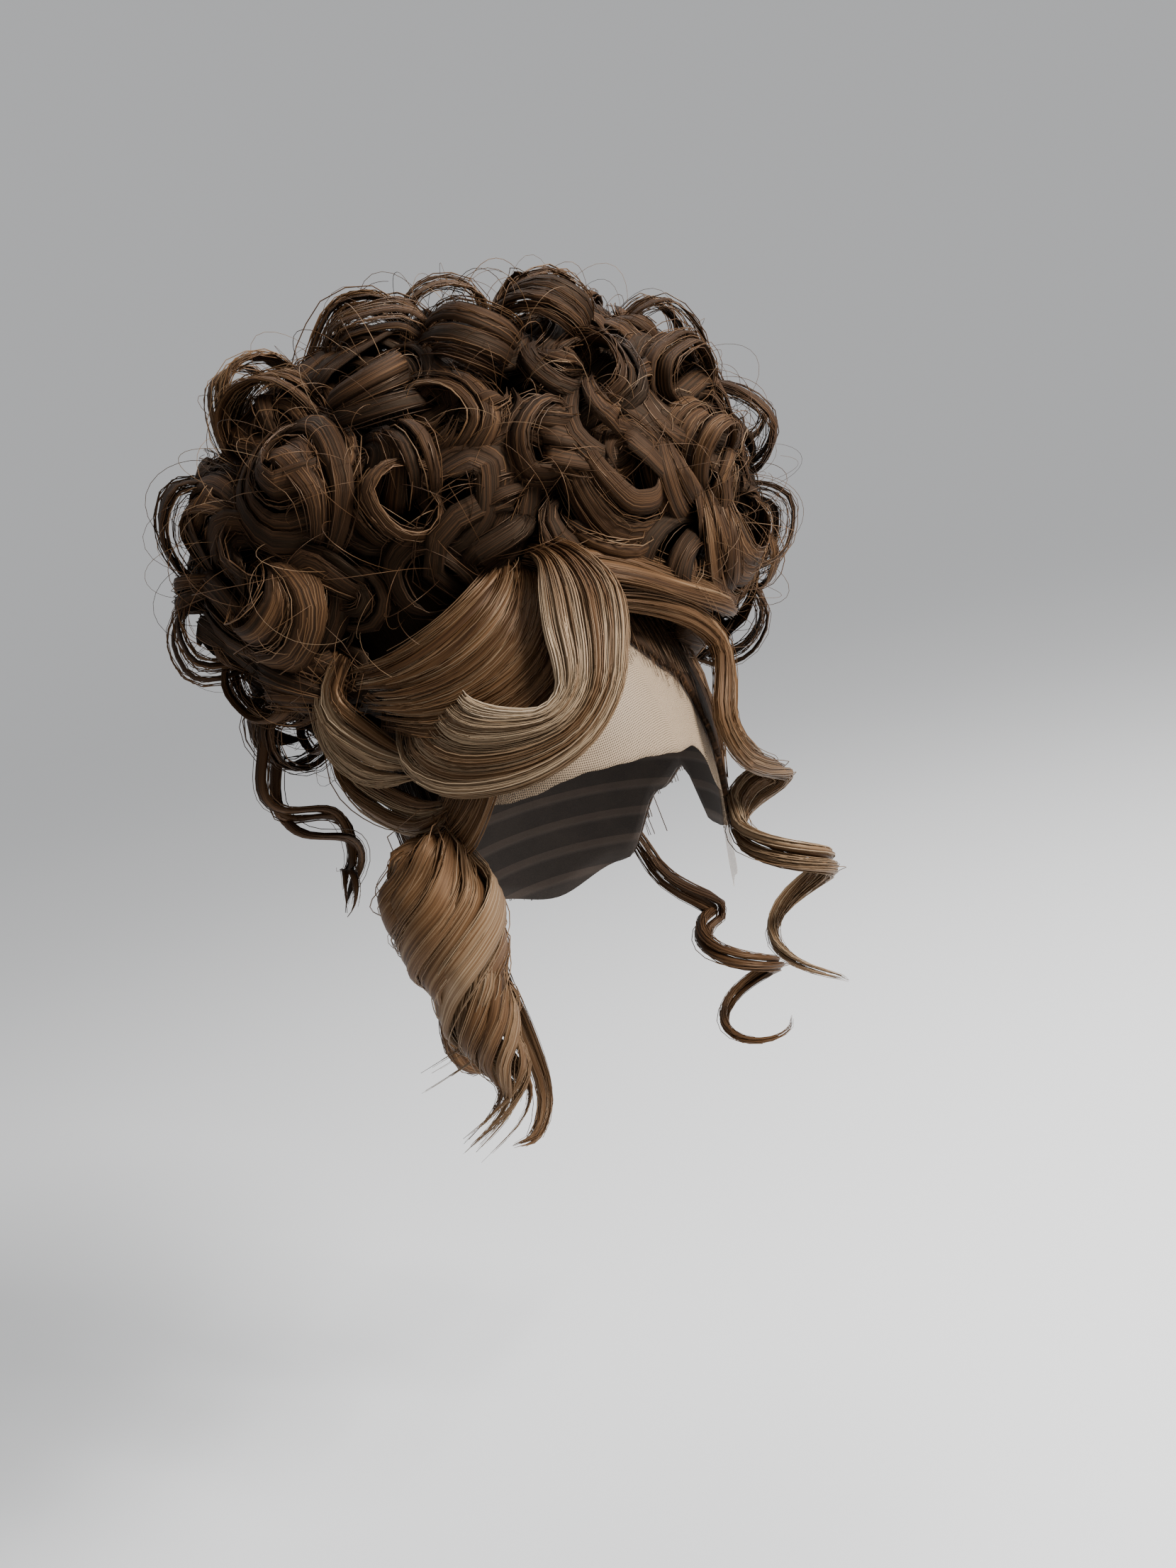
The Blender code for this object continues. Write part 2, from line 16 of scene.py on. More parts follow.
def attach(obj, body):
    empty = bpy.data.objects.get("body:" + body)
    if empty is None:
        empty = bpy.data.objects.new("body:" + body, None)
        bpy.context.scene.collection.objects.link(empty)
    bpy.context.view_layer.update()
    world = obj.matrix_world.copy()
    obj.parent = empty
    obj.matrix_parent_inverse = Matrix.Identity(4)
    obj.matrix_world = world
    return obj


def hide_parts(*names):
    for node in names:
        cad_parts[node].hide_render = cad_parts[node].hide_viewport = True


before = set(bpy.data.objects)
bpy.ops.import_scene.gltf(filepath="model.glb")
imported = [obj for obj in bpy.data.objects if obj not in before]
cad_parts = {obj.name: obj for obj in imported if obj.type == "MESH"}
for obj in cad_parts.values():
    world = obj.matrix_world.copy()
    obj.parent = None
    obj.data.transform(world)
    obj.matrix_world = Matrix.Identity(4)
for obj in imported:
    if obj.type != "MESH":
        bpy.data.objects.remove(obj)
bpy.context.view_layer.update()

# Sizes of the solids that the hair is laid over
HEAD_WIDTH = 0.156
HEAD_LENGTH = 0.196
CROWN_HEIGHT = 0.108
HEAD_TAPER = 0.10
CAP_DEPTH = 0.190
CAP_WALL = 0.0015
LACE_WALL = 0.0010
BASE_EDGE = 0.0025
BASE_CROWN = 0.009
BASE_RIDGE = 0.0015
BASE_SECTIONS = 9
CLEARANCE = 0.0004
PILE_ACROSS = 0.005
PILE_BEHIND = 0.035
PILE_ABOVE = 0.030
PILE_HALF_WIDTH = 0.141
PILE_HALF_DEPTH = 0.086
PILE_TOP = 0.096
PILE_BOTTOM = 0.118
CURL_RADIUS = 0.024
ROWS_PER_TURN = 8
CURL_RIBBON = 0.020
LOCK_LIFT = 0.030
TURN_WIDTH = 0.030
BAND_WIDTH = 0.036
RINGLET_WIDTH = 0.022
TENDRIL_WIDTH = 0.012
RINGLET_RADIUS = 0.025
NAPE_CURL_RADIUS = 0.021
RINGLET_LENGTH = 0.135
NAPE_LENGTH = 0.120

# Hair
STRAND_RADIUS = 0.00027
FINE_RADIUS = 0.00015
LOCK_DEPTH = 0.0064
FAN_STEPS = 4
CURL_DEPTH = 0.0034
BODY_SHARE = 0.80
CLUMPS = 5.0
HEAD_MARGIN = 0.0125
LOCK_MARGIN = 0.006
ROOT_FADE = 3.2
CORE_INSET = 0.012
COMBED_LOCKS = 60
HAIRLINE_HAIRS = 560
LOOSE_HAIRS = 620
PIECE_TRIANGLES = 185000
SAMPLE_SHARE = 0.66

# Edges of the cap and of the lace: azimuth from the face, drop as a share of CAP_DEPTH
HAIRLINE = (
    (0, 0.22),
    (30, 0.20),
    (50, 0.32),
    (66, 0.58),
    (80, 0.80),
    (92, 0.80),
    (105, 0.64),
    (122, 0.72),
    (145, 0.93),
    (180, 1.00),
)
LACE_HEM = (
    (0, 0.47),
    (40, 0.50),
    (60, 0.66),
    (74, 0.93),
    (80, 0.98),
)

# Locks laid on the head: azimuth, drop (share of CAP_DEPTH), lift (share of LOCK_LIFT), width share
SWOOP_INNER_EDGE = (
    (4, -0.06, 0.78, 0.35),
    (3, -0.02, 0.92, 0.6),
    (-2, 0.05, 1.00, 0.9),
    (-5, 0.13, 1.00, 1.0),
    (-6, 0.20, 0.98, 1.0),
    (-8, 0.26, 0.95, 1.0),
    (-14, 0.29, 0.90, 1.0),
    (-23, 0.27, 0.88, 1.0),
    (-30, 0.24, 0.84, 0.9),
    (-35, 0.21, 0.62, 0.8),
    (-40, 0.18, 0.44, 0.6),
)
SWOOP_OUTER_EDGE = (
    (10, -0.10, 0.85, 0.35),
    (20, -0.04, 1.04, 0.6),
    (21, 0.05, 1.14, 0.9),
    (17, 0.13, 1.12, 1.0),
    (12, 0.21, 1.06, 1.0),
    (6, 0.30, 0.98, 1.0),
    (-5, 0.39, 0.87, 1.0),
    (-22, 0.44, 0.79, 1.0),
    (-42, 0.43, 0.80, 1.0),
    (-56, 0.36, 0.84, 0.8),
    (-62, 0.27, 0.72, 0.6),
)
PANEL_UPPER_EDGE = (
    (2, -0.11, 0.55, 0.6),
    (-9, -0.09, 0.58, 0.9),
    (-21, -0.05, 0.63, 1.0),
    (-35, 0.00, 0.70, 1.0),
    (-48, 0.05, 0.79, 1.0),
    (-61, 0.09, 0.98, 0.9),
    (-73, 0.10, 1.35, 0.8),
)
PANEL_LOWER_EDGE = (
    (9, -0.08, 0.52, 0.7),
    (9, 0.02, 0.52, 1.0),
    (5, 0.13, 0.50, 1.0),
    (-3, 0.24, 0.50, 1.0),
    (-20, 0.31, 0.54, 1.0),
    (-41, 0.31, 0.68, 0.9),
    (-58, 0.26, 0.95, 0.8),
)
FRINGE_CURL = (
    (-76, 0.06, 1.45, 0.60),
    (-79, 0.15, 1.50, 0.90),
    (-76, 0.25, 1.30, 1.00),
    (-66, 0.33, 0.95, 1.00),
    (-54, 0.37, 0.62, 0.70),
)
TEMPLE_CURL_LEFT = (
    (-80, 0.27, 1.25, 0.50),
    (-79, 0.37, 1.05, 0.75),
    (-70, 0.45, 0.72, 0.80),
    (-58, 0.49, 0.56, 0.70),
    (-47, 0.47, 0.52, 0.45),
)
SIDE_SWEEP_RIGHT = (
    (8, -0.05, 0.72, 0.55),
    (24, -0.01, 0.80, 0.80),
    (42, 0.04, 0.85, 1.00),
    (58, 0.11, 0.95, 1.00),
    (70, 0.18, 1.25, 0.85),
    (80, 0.22, 1.30, 0.60),
)
TEMPLE_WAVE_RIGHT = (
    (24, 0.09, 0.62, 0.55),
    (42, 0.13, 0.70, 0.75),
    (55, 0.19, 0.85, 0.85),
    (62, 0.28, 0.92, 0.90),
    (60, 0.38, 0.72, 0.95),
    (55, 0.47, 0.52, 1.00),
    (58, 0.56, 0.60, 1.00),
)
LEFT_LEAD = (
    (-32, 0.35, 0.42, 0.40),
    (-39, 0.42, 0.42, 0.50),
    (-46, 0.50, 0.45, 0.70),
    (-54, 0.56, 0.50, 1.00),
)
NAPE_RIGHT_LEAD = (
    (140, 0.86, 0.10, 0.60),
    (132, 1.02, 0.45, 0.80),
)
NAPE_LEFT_LEAD = (
    (-146, 0.88, 0.10, 0.70),
    (-140, 1.10, 0.30, 0.95),
    (-138, 1.34, 0.25, 1.00),
    (-134, 1.52, 0.40, 0.85),
    (-118, 1.60, 0.75, 0.60),
    (-106, 1.58, 1.20, 0.35),
)
NAPE_ROLL = (
    (-138, 0.80, 0.10, 0.70),
    (-122, 0.98, 0.50, 0.90),
    (-112, 1.16, 0.90, 1.00),
    (-110, 1.27, 1.10, 1.00),
    (-117, 1.33, 0.85, 0.90),
    (-126, 1.28, 0.65, 0.60),
)
SIDE_TENDRIL = (
    (-98, 0.18, 2.40, 0.60),
    (-102, 0.36, 2.15, 1.00),
    (-106, 0.52, 1.60, 1.00),
    (-107, 0.66, 1.15, 0.85),
    (-102, 0.76, 1.75, 0.60),
)

# Ringlets: axis as shares of half the head's width and length, top as a share of CAP_DEPTH,
# length and radii as shares of the ringlet's own, turns, phase in degrees, and how far its tip hooks
# back up, in metres. The left one has a profile of its own below.
RINGLETS = {
    "face_ringlet_right": {
        "across": 1.24, "forward": 0.46, "top": 0.68, "length": 0.84,
        "wide": 1.0, "narrow": 0.62, "turns": 1.75, "phase": 150, "width": 1.0, "hook": 0.0,
    },
    "face_ringlet_left": {
        "across": -1.05, "forward": 0.76, "top": 0.62, "length": 0.88,
    },
    "nape_ringlet_right": {
        "across": 1.20, "forward": -0.60, "top": 1.18, "length": 0.80,
        "wide": 1.0, "narrow": 1.00, "turns": 1.7, "phase": 185, "width": 0.85, "hook": 0.022,
    },
}

# The left ringlet: how many locks lie round it and fill it, which of them end high and at what share
# of the length, how far above its solid it starts as a share of CAP_DEPTH, its radius share at shares
# of its length, and its sway to the right as a share of its radius. A full lock turns BARREL_TWIST
# degrees on its way down, and one that fills the inside lies at FILL_REACH of the radius.
BARREL_LOCKS = 9
BARREL_FILL = 3
BARREL_TWIST = 400
FILL_REACH = 0.70
BARREL_SHORT = (2, 6, 10)
SHORT_SHARE = 0.70
BARREL_RAISE = 0.05
BARREL_STEPS = 14
BARREL_PROFILE = (
    (0.00, 0.50),
    (0.18, 1.02),
    (0.32, 0.92),
    (0.46, 0.58),
    (0.60, 0.64),
    (0.74, 0.44),
    (0.86, 0.26),
    (1.00, 0.16),
)
BARREL_SWAY = (
    (0.00, 0.00),
    (0.40, 0.00),
    (0.66, 0.10),
    (0.84, 0.35),
    (0.94, -0.05),
    (1.00, -0.80),
)

# Curls on the front of the pile: azimuth, elevation, radius share, turns, tilt, spin
FRONT_CURLS = (
    (-40, 24, 1.35, 1.3, 35, 20),
    (-26, 46, 1.00, 1.2, 50, 100),
    (-12, 30, 1.00, 1.3, 25, 200),
    (4, 52, 1.05, 1.2, 60, 40),
    (8, 14, 0.95, 1.2, 30, 300),
    (22, 3, 1.30, 1.3, 15, 60),
    (26, 34, 1.05, 1.2, 55, 150),
    (42, 4, 1.00, 1.2, 40, 250),
    (52, -20, 1.00, 1.2, 45, 10),
    (-20, 8, 0.95, 1.2, 40, 330),
    (-52, -2, 1.15, 1.3, 30, 80),
    (-36, -20, 0.95, 1.2, 50, 170),
    (50, 26, 1.05, 1.2, 60, 230),
    (-60, 42, 1.10, 1.2, 60, 300),
    (36, 56, 1.05, 1.2, 65, 20),
    (-60, -26, 1.00, 1.2, 55, 240),
)
# Curls on the sides and over the top, with the same columns
RIM_CURLS = (
    (-86, 20, 1.15, 1.2, 80, 165),
    (-88, -6, 1.10, 1.2, 75, 200),
    (-90, -34, 1.15, 1.2, 80, 150),
    (-74, -22, 1.00, 1.2, 50, 30),
    (86, 12, 1.10, 1.2, 65, 15),
    (82, -18, 1.05, 1.2, 85, 345),
    (88, -40, 1.15, 1.2, 80, 20),
    (76, 40, 1.20, 1.2, 80, 30),
    (62, 66, 1.15, 1.2, 85, 40),
    (10, 80, 1.05, 1.2, 80, 75),
    (-60, 72, 1.40, 1.2, 85, 140),
    (-84, 50, 1.15, 1.2, 75, 190),
    (-120, 74, 1.15, 1.2, 75, 40),
    (140, 70, 1.15, 1.2, 70, 140),
    (-30, 66, 1.10, 1.2, 75, 100),
    (100, 62, 1.10, 1.2, 80, 60),
    (150, -40, 1.05, 1.2, 50, 100),
    (-150, -42, 1.05, 1.2, 50, 300),
    (180, -30, 1.15, 1.2, 35, 30),
    (116, -48, 1.00, 1.2, 60, 200),
    (-118, -50, 1.00, 1.2, 60, 20),
)

# Smaller curls and waves spread over the pile, the degrees from one place to the next, the highest
# elevation of a swirl, and the tilt over which a large curl counts as one of the rim
GOLDEN_TURN = 137.508
SWIRLS = 60
SWIRL_TOP = 66
SMALL_CURLS = 64
WAVES = 60
RIM_TILT = 70

# Painted shade: locks deep in the pile are darker, as shade falls there: height over its core where it
# starts, metres to full, tone lost
SHADE_HEIGHT = 0.014
SHADE_DEPTH = 0.022
PAINTED_SHADE_TONE = 0.28

# Single hairs that stand off the pile: lift of the root, reach and greatest height in metres, tones
LOOSE_START = 0.004
LOOSE_REACH = (0.009, 0.026)
LOOSE_HEIGHT = 0.040
LOOSE_TONES = (0.30, 0.54)
SINGLE_WIDTH = 0.001

# Hairs tied in the lace: degrees to each side of the face, and degrees below the hairline
TIED_SPAN = 78
TIED_DROP = 9

# The closed inside of a lock: taper at its root and tip, least share at its ends, depth of its grooves,
# and its sides in the pile and in the locks beside it
ROOT_TAPER = 14
TIP_TAPER = 7
END_SHARE = 0.18
GROOVE_DEPTH = 0.22
PILE_SIDES = 6
LOCK_SIDES = 12

# Columns and rings of the cap and of the combed hair, wefts in a metre, cells of the net and its knots
CAP_COLUMNS = 96
BASE_COLUMNS = 108
DOME_RINGS = 20
WEFTS_PER_METRE = 62.0
NET_CELLS = 950.0
NET_KNOTS = 620.0

# Locks laid on the head: rows, width, tone, locks side by side, strands in each, tone spread, darker root
LAID_LOCKS = {
    "fringe_curl": (FRINGE_CURL, TURN_WIDTH, 0.62, 5, 22, 0.14, 0.20),
    "temple_curl_left": (TEMPLE_CURL_LEFT, TURN_WIDTH, 0.58, 4, 20, 0.12, 0.15),
    "side_sweep_right": (SIDE_SWEEP_RIGHT, BAND_WIDTH, 0.45, 6, 22, 0.08, 0.15),
    "nape_lock_left": (NAPE_LEFT_LEAD, RINGLET_WIDTH * 0.6, 0.44, 3, 16, 0.08, 0.12),
    "nape_roll_left": (NAPE_ROLL, RINGLET_WIDTH, 0.42, 3, 20, 0.08, 0.12),
    "side_tendril_left": (SIDE_TENDRIL, TENDRIL_WIDTH * 0.6, 0.34, 3, 8, 0.06, 0.10),
}
# Steps between two rows of a laid lock, and of the one that waves, which does so by about WAVE_SIZE metres
LAID_STEPS = 4
WAVY_STEPS = 9
WAVY_LOCK = "side_tendril_left"
WAVE_SIZE = 0.011
# Loose locks counted as dark_hair, the others as light_hair; this slot is worked out but given to no piece.
DARK_NODES = {"side_sweep_right", "nape_lock_left", "nape_roll_left", "side_tendril_left",
              "nape_ringlet_right"}

# Tones of the fringe's locks, side by side from the inner or upper edge
SWOOP_TONES = (0.72, 0.60, 0.70, 0.56, 0.68, 0.60, 0.66, 0.54, 0.62, 0.52, 0.64, 0.55)
PANEL_TONES = (0.40, 0.50, 0.38, 0.54, 0.42, 0.58, 0.42, 0.64, 0.48, 0.54, 0.42, 0.46, 0.40, 0.44)

# Texture places: metres for a radian round the head, and for a quarter turn down it
HEAD_REACH = 0.09
LACE_REACH = 0.085
LACE_DROP = 0.17

# The lace: degrees that it runs up under the hairline, its thickness, and how far it stands off where slack
LACE_TUCK = 2.0
LACE_THICK = 0.0003
LACE_PUCKER = 0.0016

# Lamps: name, place, size in metres, watts
LAMPS = (
    ("key", (1.05, -0.90, 0.85), 0.45, 75.0),
    ("top", (0.3, 0.3, 1.3), 0.8, 12.0),
)
SKY_COLOUR = (0.97, 0.98, 1.0, 1.0)
SKY_STRENGTH = 0.50
LAMP_AIM = (0.0, 0.0, -0.05)
FLOOR_HALF = 14.0
FLOOR_HEIGHT = -0.55

# The camera: what it looks at, how far off it is, degrees round, up and rolled, lens and sensor in mm
CAMERA_AIM = (0.010, -0.020, -0.108)
CAMERA_DISTANCE = 0.60
CAMERA_TURN = (-13, 10, 15)
LENS = 27
SENSOR = 36

# Hair colour from the darkest root to the lightest tip: place on the ramp, linear colour
HAIR_COLOURS = (
    (0.00, (0.004, 0.002, 0.001)),
    (0.25, (0.025, 0.011, 0.005)),
    (0.45, (0.078, 0.038, 0.016)),
    (0.60, (0.150, 0.095, 0.053)),
    (0.78, (0.305, 0.222, 0.140)),
    (1.00, (0.620, 0.500, 0.370)),
)
WARM_SHEEN = (1.0, 0.68, 0.44, 1.0)


@dataclass
class Lock:
    """A ribbon of hair, with values at each point along it."""

    points: np.ndarray
    side: np.ndarray
    facing: np.ndarray
    half_width: np.ndarray
    half_depth: np.ndarray
    tone: np.ndarray
    strands: int
    body: float = BODY_SHARE


@dataclass
class CurlKind:
    """How the locks of one kind of curl in the pile are made and split."""

    width: float
    tone: float
    tone_spread: float
    strands: int
    steps: int
    tip: float
    body: float
    parts: int
    overlap: float
    lift: float
    loose: float


# Kinds of curl in the pile, with the columns that CurlKind names
LARGE_CURL = CurlKind(CURL_RIBBON * 1.45, 0.36, 0.05, 9, 3, 0.5, 0.66, 3, 1.7, 2.4, 2.0)
RIM_CURL = CurlKind(CURL_RIBBON * 1.45, 0.36, 0.05, 9, 3, 0.5, 0.45, 3, 1.7, 2.4, 2.0)
SWIRL = CurlKind(CURL_RIBBON * 1.5, 0.36, 0.06, 7, 3, 0.5, 0.66, 3, 1.8, 2.4, 2.2)
SMALL_CURL = CurlKind(CURL_RIBBON, 0.34, 0.06, 6, 2, 0.4, 0.60, 2, 1.7, 2.2, 1.8)
WAVE = CurlKind(CURL_RIBBON * 1.5, 0.32, 0.05, 6, 2, 0.6, 0.70, 3, 1.8, 2.4, 2.2)


# Node trees


class Wire:
    """One socket of a node tree, so that a sum is written as a sum."""

    def __init__(self, tree, socket):
        self.tree = tree
        self.socket = socket

    def output(self, name):
        return Wire(self.tree, live_socket(self.socket.node.outputs, name))

    def __add__(self, other):
        return self.tree.math("ADD", self, other)

    def __radd__(self, other):
        return self.tree.math("ADD", other, self)

    def __sub__(self, other):
        return self.tree.math("SUBTRACT", self, other)

    def __rsub__(self, other):
        return self.tree.math("SUBTRACT", other, self)

    def __mul__(self, other):
        return self.tree.math("MULTIPLY", self, other)

    def __rmul__(self, other):
        return self.tree.math("MULTIPLY", other, self)

    def __pow__(self, other):
        return self.tree.math("POWER", self, other)


def live_socket(sockets, key):
    """A node's socket by name, or by its place among those that its settings leave in use."""
    live = [socket for socket in sockets if socket.enabled]
    if isinstance(key, int):
        return live[key]
    return next(socket for socket in live if socket.name == key)


class Tree:
    """Adds nodes to one shader or geometry tree."""

    def __init__(self, owner):
        self.owner = owner

    def node(self, kind, settings=None, sockets=None):
        made = self.owner.nodes.new(kind)
        for name, value in (settings or {}).items():
            if name == "stops":
                set_stops(made.color_ramp, value)
            else:
                setattr(made, name, value)
        for key, value in (sockets or {}).items():
            target = live_socket(made.inputs, key)
            if isinstance(value, Wire):
                self.owner.links.new(value.socket, target)
            else:
                target.default_value = value
        live = [socket for socket in made.outputs if socket.enabled]
        return Wire(self, live[0]) if live else made

    def math(self, operation, *values):
        return self.node("ShaderNodeMath", {"operation": operation}, dict(enumerate(values)))

    def read(self, name, data_type="FLOAT"):
        return self.node("GeometryNodeInputNamedAttribute", {"data_type": data_type}, {"Name": name})

    def store(self, geometry, name, value, data_type="FLOAT", domain="POINT"):
        settings = {"data_type": data_type, "domain": domain}
        sockets = {"Geometry": geometry, "Name": name, "Value": value}
        return self.node("GeometryNodeStoreNamedAttribute", settings, sockets)

    def random(self, low, high, key, seed):
        sockets = {"Min": low, "Max": high, "ID": key, "Seed": seed}
        return self.node("FunctionNodeRandomValue", {"data_type": "FLOAT"}, sockets)

    def scaled(self, vector, share):
        sockets = {"Vector": vector, "Scale": share}
        return self.node("ShaderNodeVectorMath", {"operation": "SCALE"}, sockets)

    def ranged(self, value, given, wanted, kind="LINEAR"):
        sockets = {"Value": value, "From Min": given[0], "From Max": given[1],
                   "To Min": wanted[0], "To Max": wanted[1]}
        return self.node("ShaderNodeMapRange", {"interpolation_type": kind}, sockets)

    def noise(self, place, scale, detail):
        sockets = {"Vector": place, "Scale": scale, "Detail": detail}
        return self.node("ShaderNodeTexNoise", sockets=sockets)

    def joined(self, first, second):
        return self.node("ShaderNodeVectorMath", {"operation": "ADD"}, {0: first, 1: second})


def set_stops(ramp, stops):
    while len(ramp.elements) < len(stops):
        ramp.elements.new(1.0)
    for element, (place, colour) in zip(ramp.elements, stops):
        element.position = place
        element.color = (*colour, 1.0)


STRAND_INPUTS = (
    ("Strand Radius", "NodeSocketFloat"),
    ("Tightness", "NodeSocketFloat"),
    ("Clumps", "NodeSocketFloat"),
    ("Drift", "NodeSocketFloat"),
    ("Stray", "NodeSocketFloat"),
    ("Shortest", "NodeSocketFloat"),
    ("Tone Spread", "NodeSocketFloat"),
    ("Seed", "NodeSocketInt"),
    ("Material", "NodeSocketMaterial"),
)

# Values that the strand tree reads or stores, which the finished strands don't keep
GUIDE_VALUES = ("side", "facing", "along", "half_width", "half_depth", "tone", "strands", "samples",
                "lock", "strand", "shade")


def make_strand_tree():
    """Strands spread over each guide line's ribbon, which gather in clumps towards its tip."""
    group = bpy.data.node_groups.new("strands along locks", "GeometryNodeTree")
    ports = group.interface
    ports.new_socket(name="Geometry", in_out="INPUT", socket_type="NodeSocketGeometry")
    for name, kind in STRAND_INPUTS:
        ports.new_socket(name=name, in_out="INPUT", socket_type=kind)
    ports.new_socket(name="Geometry", in_out="OUTPUT", socket_type="NodeSocketGeometry")
    tree = Tree(group)
    given = tree.node("NodeGroupInput")
    seed = given.output("Seed")
    lines = tree.node("GeometryNodeMeshToCurve", sockets={"Mesh": given})
    copies = tree.node("GeometryNodeDuplicateElements", {"domain": "SPLINE"},
                       {"Geometry": lines, "Amount": tree.read("strands", "INT")})
    number = tree.node("GeometryNodeInputIndex")
    numbered = tree.store(copies, "strand", number, "INT", "CURVE")
    strand = tree.read("strand", "INT")
    along = tree.read("along")
    ends = tree.random(given.output("Shortest"), 1.0, strand, seed)
    trimmed = tree.node("GeometryNodeTrimCurve", {"mode": "FACTOR"},
                        {"Curve": numbered, "Start": 0.0, "End": ends})
    sampled = tree.node("GeometryNodeResampleCurve", {"mode": "COUNT"},
                        {"Curve": trimmed, "Count": tree.read("samples", "INT")})

    clump_number = tree.math("FLOOR", tree.random(0.0, given.output("Clumps"), strand, seed + 1))
    clump = tree.read("lock", "INT") * 64 + clump_number
    across = tree.random(-1.0, 1.0, strand, seed + 2)
    clump_across = tree.random(-0.92, 0.92, clump, seed + 3)
    hold = given.output("Tightness") * (0.25 + 0.75 * along)
    wave = tree.math("SINE", along * tree.random(3.0, 9.0, strand, seed + 4)
                     + tree.random(0.0, 6.28, strand, seed + 5))
    clump_wave = tree.math("SINE", along * 6.0 + tree.random(0.0, 6.28, clump, seed + 6))
    stray = given.output("Stray") * tree.random(0.0, 1.0, strand, seed + 7) ** 14.0
    loose = 1.12 * (across + (clump_across - across) * hold)
    sideways = loose * (1.0 + stray) + given.output("Drift") * (wave * (0.4 + stray) + clump_wave)

    deep = tree.random(-1.0, 1.0, strand, seed + 8)
    layer = tree.math("SIGN", deep) * tree.math("ABSOLUTE", deep) ** 0.35
    round_edge = tree.math("SQRT", tree.math("MAXIMUM", 1.20 - sideways * sideways, 0.05))
    bounce = tree.math("SINE", along * tree.random(4.0, 11.0, strand, seed + 12)
                       + tree.random(0.0, 6.28, strand, seed + 13))
    outwards = layer * round_edge * (1.0 + stray * 2.0) + given.output("Drift") * 3.0 * bounce

    move_side = tree.scaled(tree.read("side", "FLOAT_VECTOR"), sideways * tree.read("half_width"))
    move_out = tree.scaled(tree.read("facing", "FLOAT_VECTOR"), outwards * tree.read("half_depth"))
    placed = tree.node("GeometryNodeSetPosition",
                       sockets={"Geometry": sampled, "Offset": tree.joined(move_side, move_out)})

    spread = given.output("Tone Spread")
    shade = (tree.read("tone") + spread * tree.random(-1.0, 1.0, strand, seed + 9)
             + spread * tree.random(-1.0, 1.0, clump, seed + 10))
    shaded = tree.store(placed, "shade", shade)

    profile = tree.node("GeometryNodeCurvePrimitiveCircle",
                        sockets={"Resolution": 3, "Radius": given.output("Strand Radius")})
    thickness = tree.random(0.7, 1.3, strand, seed + 11) * (1.0 - 0.75 * along ** 5.0)
    tubes = tree.node("GeometryNodeCurveToMesh", sockets={
        "Curve": shaded, "Profile Curve": profile, "Scale": thickness, "Fill Caps": True})
    clamped = tree.node("ShaderNodeClamp", sockets={"Value": tree.read("shade"), "Min": 0.01, "Max": 0.99})
    place = tree.node("ShaderNodeCombineXYZ", sockets={"X": clamped, "Y": along})
    mapped = tree.store(tubes, "OFBake", place, "FLOAT2", "CORNER")
    smooth = tree.node("GeometryNodeSetShadeSmooth", sockets={"Geometry": mapped})
    whole = tree.node("GeometryNodeRealizeInstances", sockets={"Geometry": smooth})
    dressed = tree.node("GeometryNodeSetMaterial",
                        sockets={"Geometry": whole, "Material": given.output("Material")})
    tree.node("NodeGroupOutput", sockets={"Geometry": dressed})
    return group


def new_material(name):
    made = bpy.data.materials.new(name)
    made.use_nodes = True
    made.node_tree.nodes.clear()
    return made, Tree(made.node_tree)


def finish_material(tree, sockets):
    shader = tree.node("ShaderNodeBsdfPrincipled", sockets=sockets)
    tree.node("ShaderNodeOutputMaterial", sockets={"Surface": shader})


def strand_material(name, roughness):
    """Hair whose tone and place along the strand are in its own UV map."""
    made, tree = new_material(name)
    place = tree.node("ShaderNodeUVMap", {"uv_map": "OFBake"})
    tone = tree.node("ShaderNodeSeparateXYZ", sockets={"Vector": place})
    along = tone.output("Y")
    root = (1.0 - along) ** 4.0
    shade = tone - 0.12 * root + 0.04 * along
    colour = tree.node("ShaderNodeValToRGB", {"stops": HAIR_COLOURS}, {"Fac": shade})
    finish_material(tree, {"Base Color": colour, "Roughness": roughness, "Specular IOR Level": 0.38,
                           "Specular Tint": WARM_SHEEN})
    return made


def body_material(name, darker, roughness, contrast, depth):
    """The dense inside of a lock: long streaks along the hair, with the grooves between them. It is painted
    darker than its lock's tone, as shade under the strands, and its streaks are partly the hairs' own tone
    and partly painted shade in the grooves.
    """
    made, tree = new_material(name)
    place = tree.node("ShaderNodeUVMap", {"uv_map": "HairUV"})
    tone = tree.node("ShaderNodeAttribute", {"attribute_name": "tone"}).output("Fac")
    coarse = stretched_noise(tree, place, 350.0, 7.0)
    fine = stretched_noise(tree, place, 1000.0, 12.0)
    hairs = stretched_noise(tree, place, 2800.0, 25.0)
    streak = 0.22 * coarse + 0.50 * fine + 0.28 * hairs
    # painted shade: darker than the lock's own tone, as under the strands; the streaks are partly the hairs'
    # own tone, partly painted shade in the bump's grooves
    shade = tone - darker + contrast * (streak - 0.5)
    colour = tree.node("ShaderNodeValToRGB", {"stops": HAIR_COLOURS}, {"Fac": shade})
    groove = tree.node("ShaderNodeBump", sockets={"Strength": 0.9, "Distance": depth, "Height": streak})
    finish_material(tree, {"Base Color": colour, "Roughness": roughness, "Normal": groove,
                           "Specular IOR Level": 0.22, "Specular Tint": WARM_SHEEN})
    return made


def stretched_noise(tree, place, across, along):
    stretched = tree.node("ShaderNodeMapping", sockets={"Vector": place, "Scale": (across, along, 1.0)})
    return tree.noise(stretched, 1.0, 2.0)


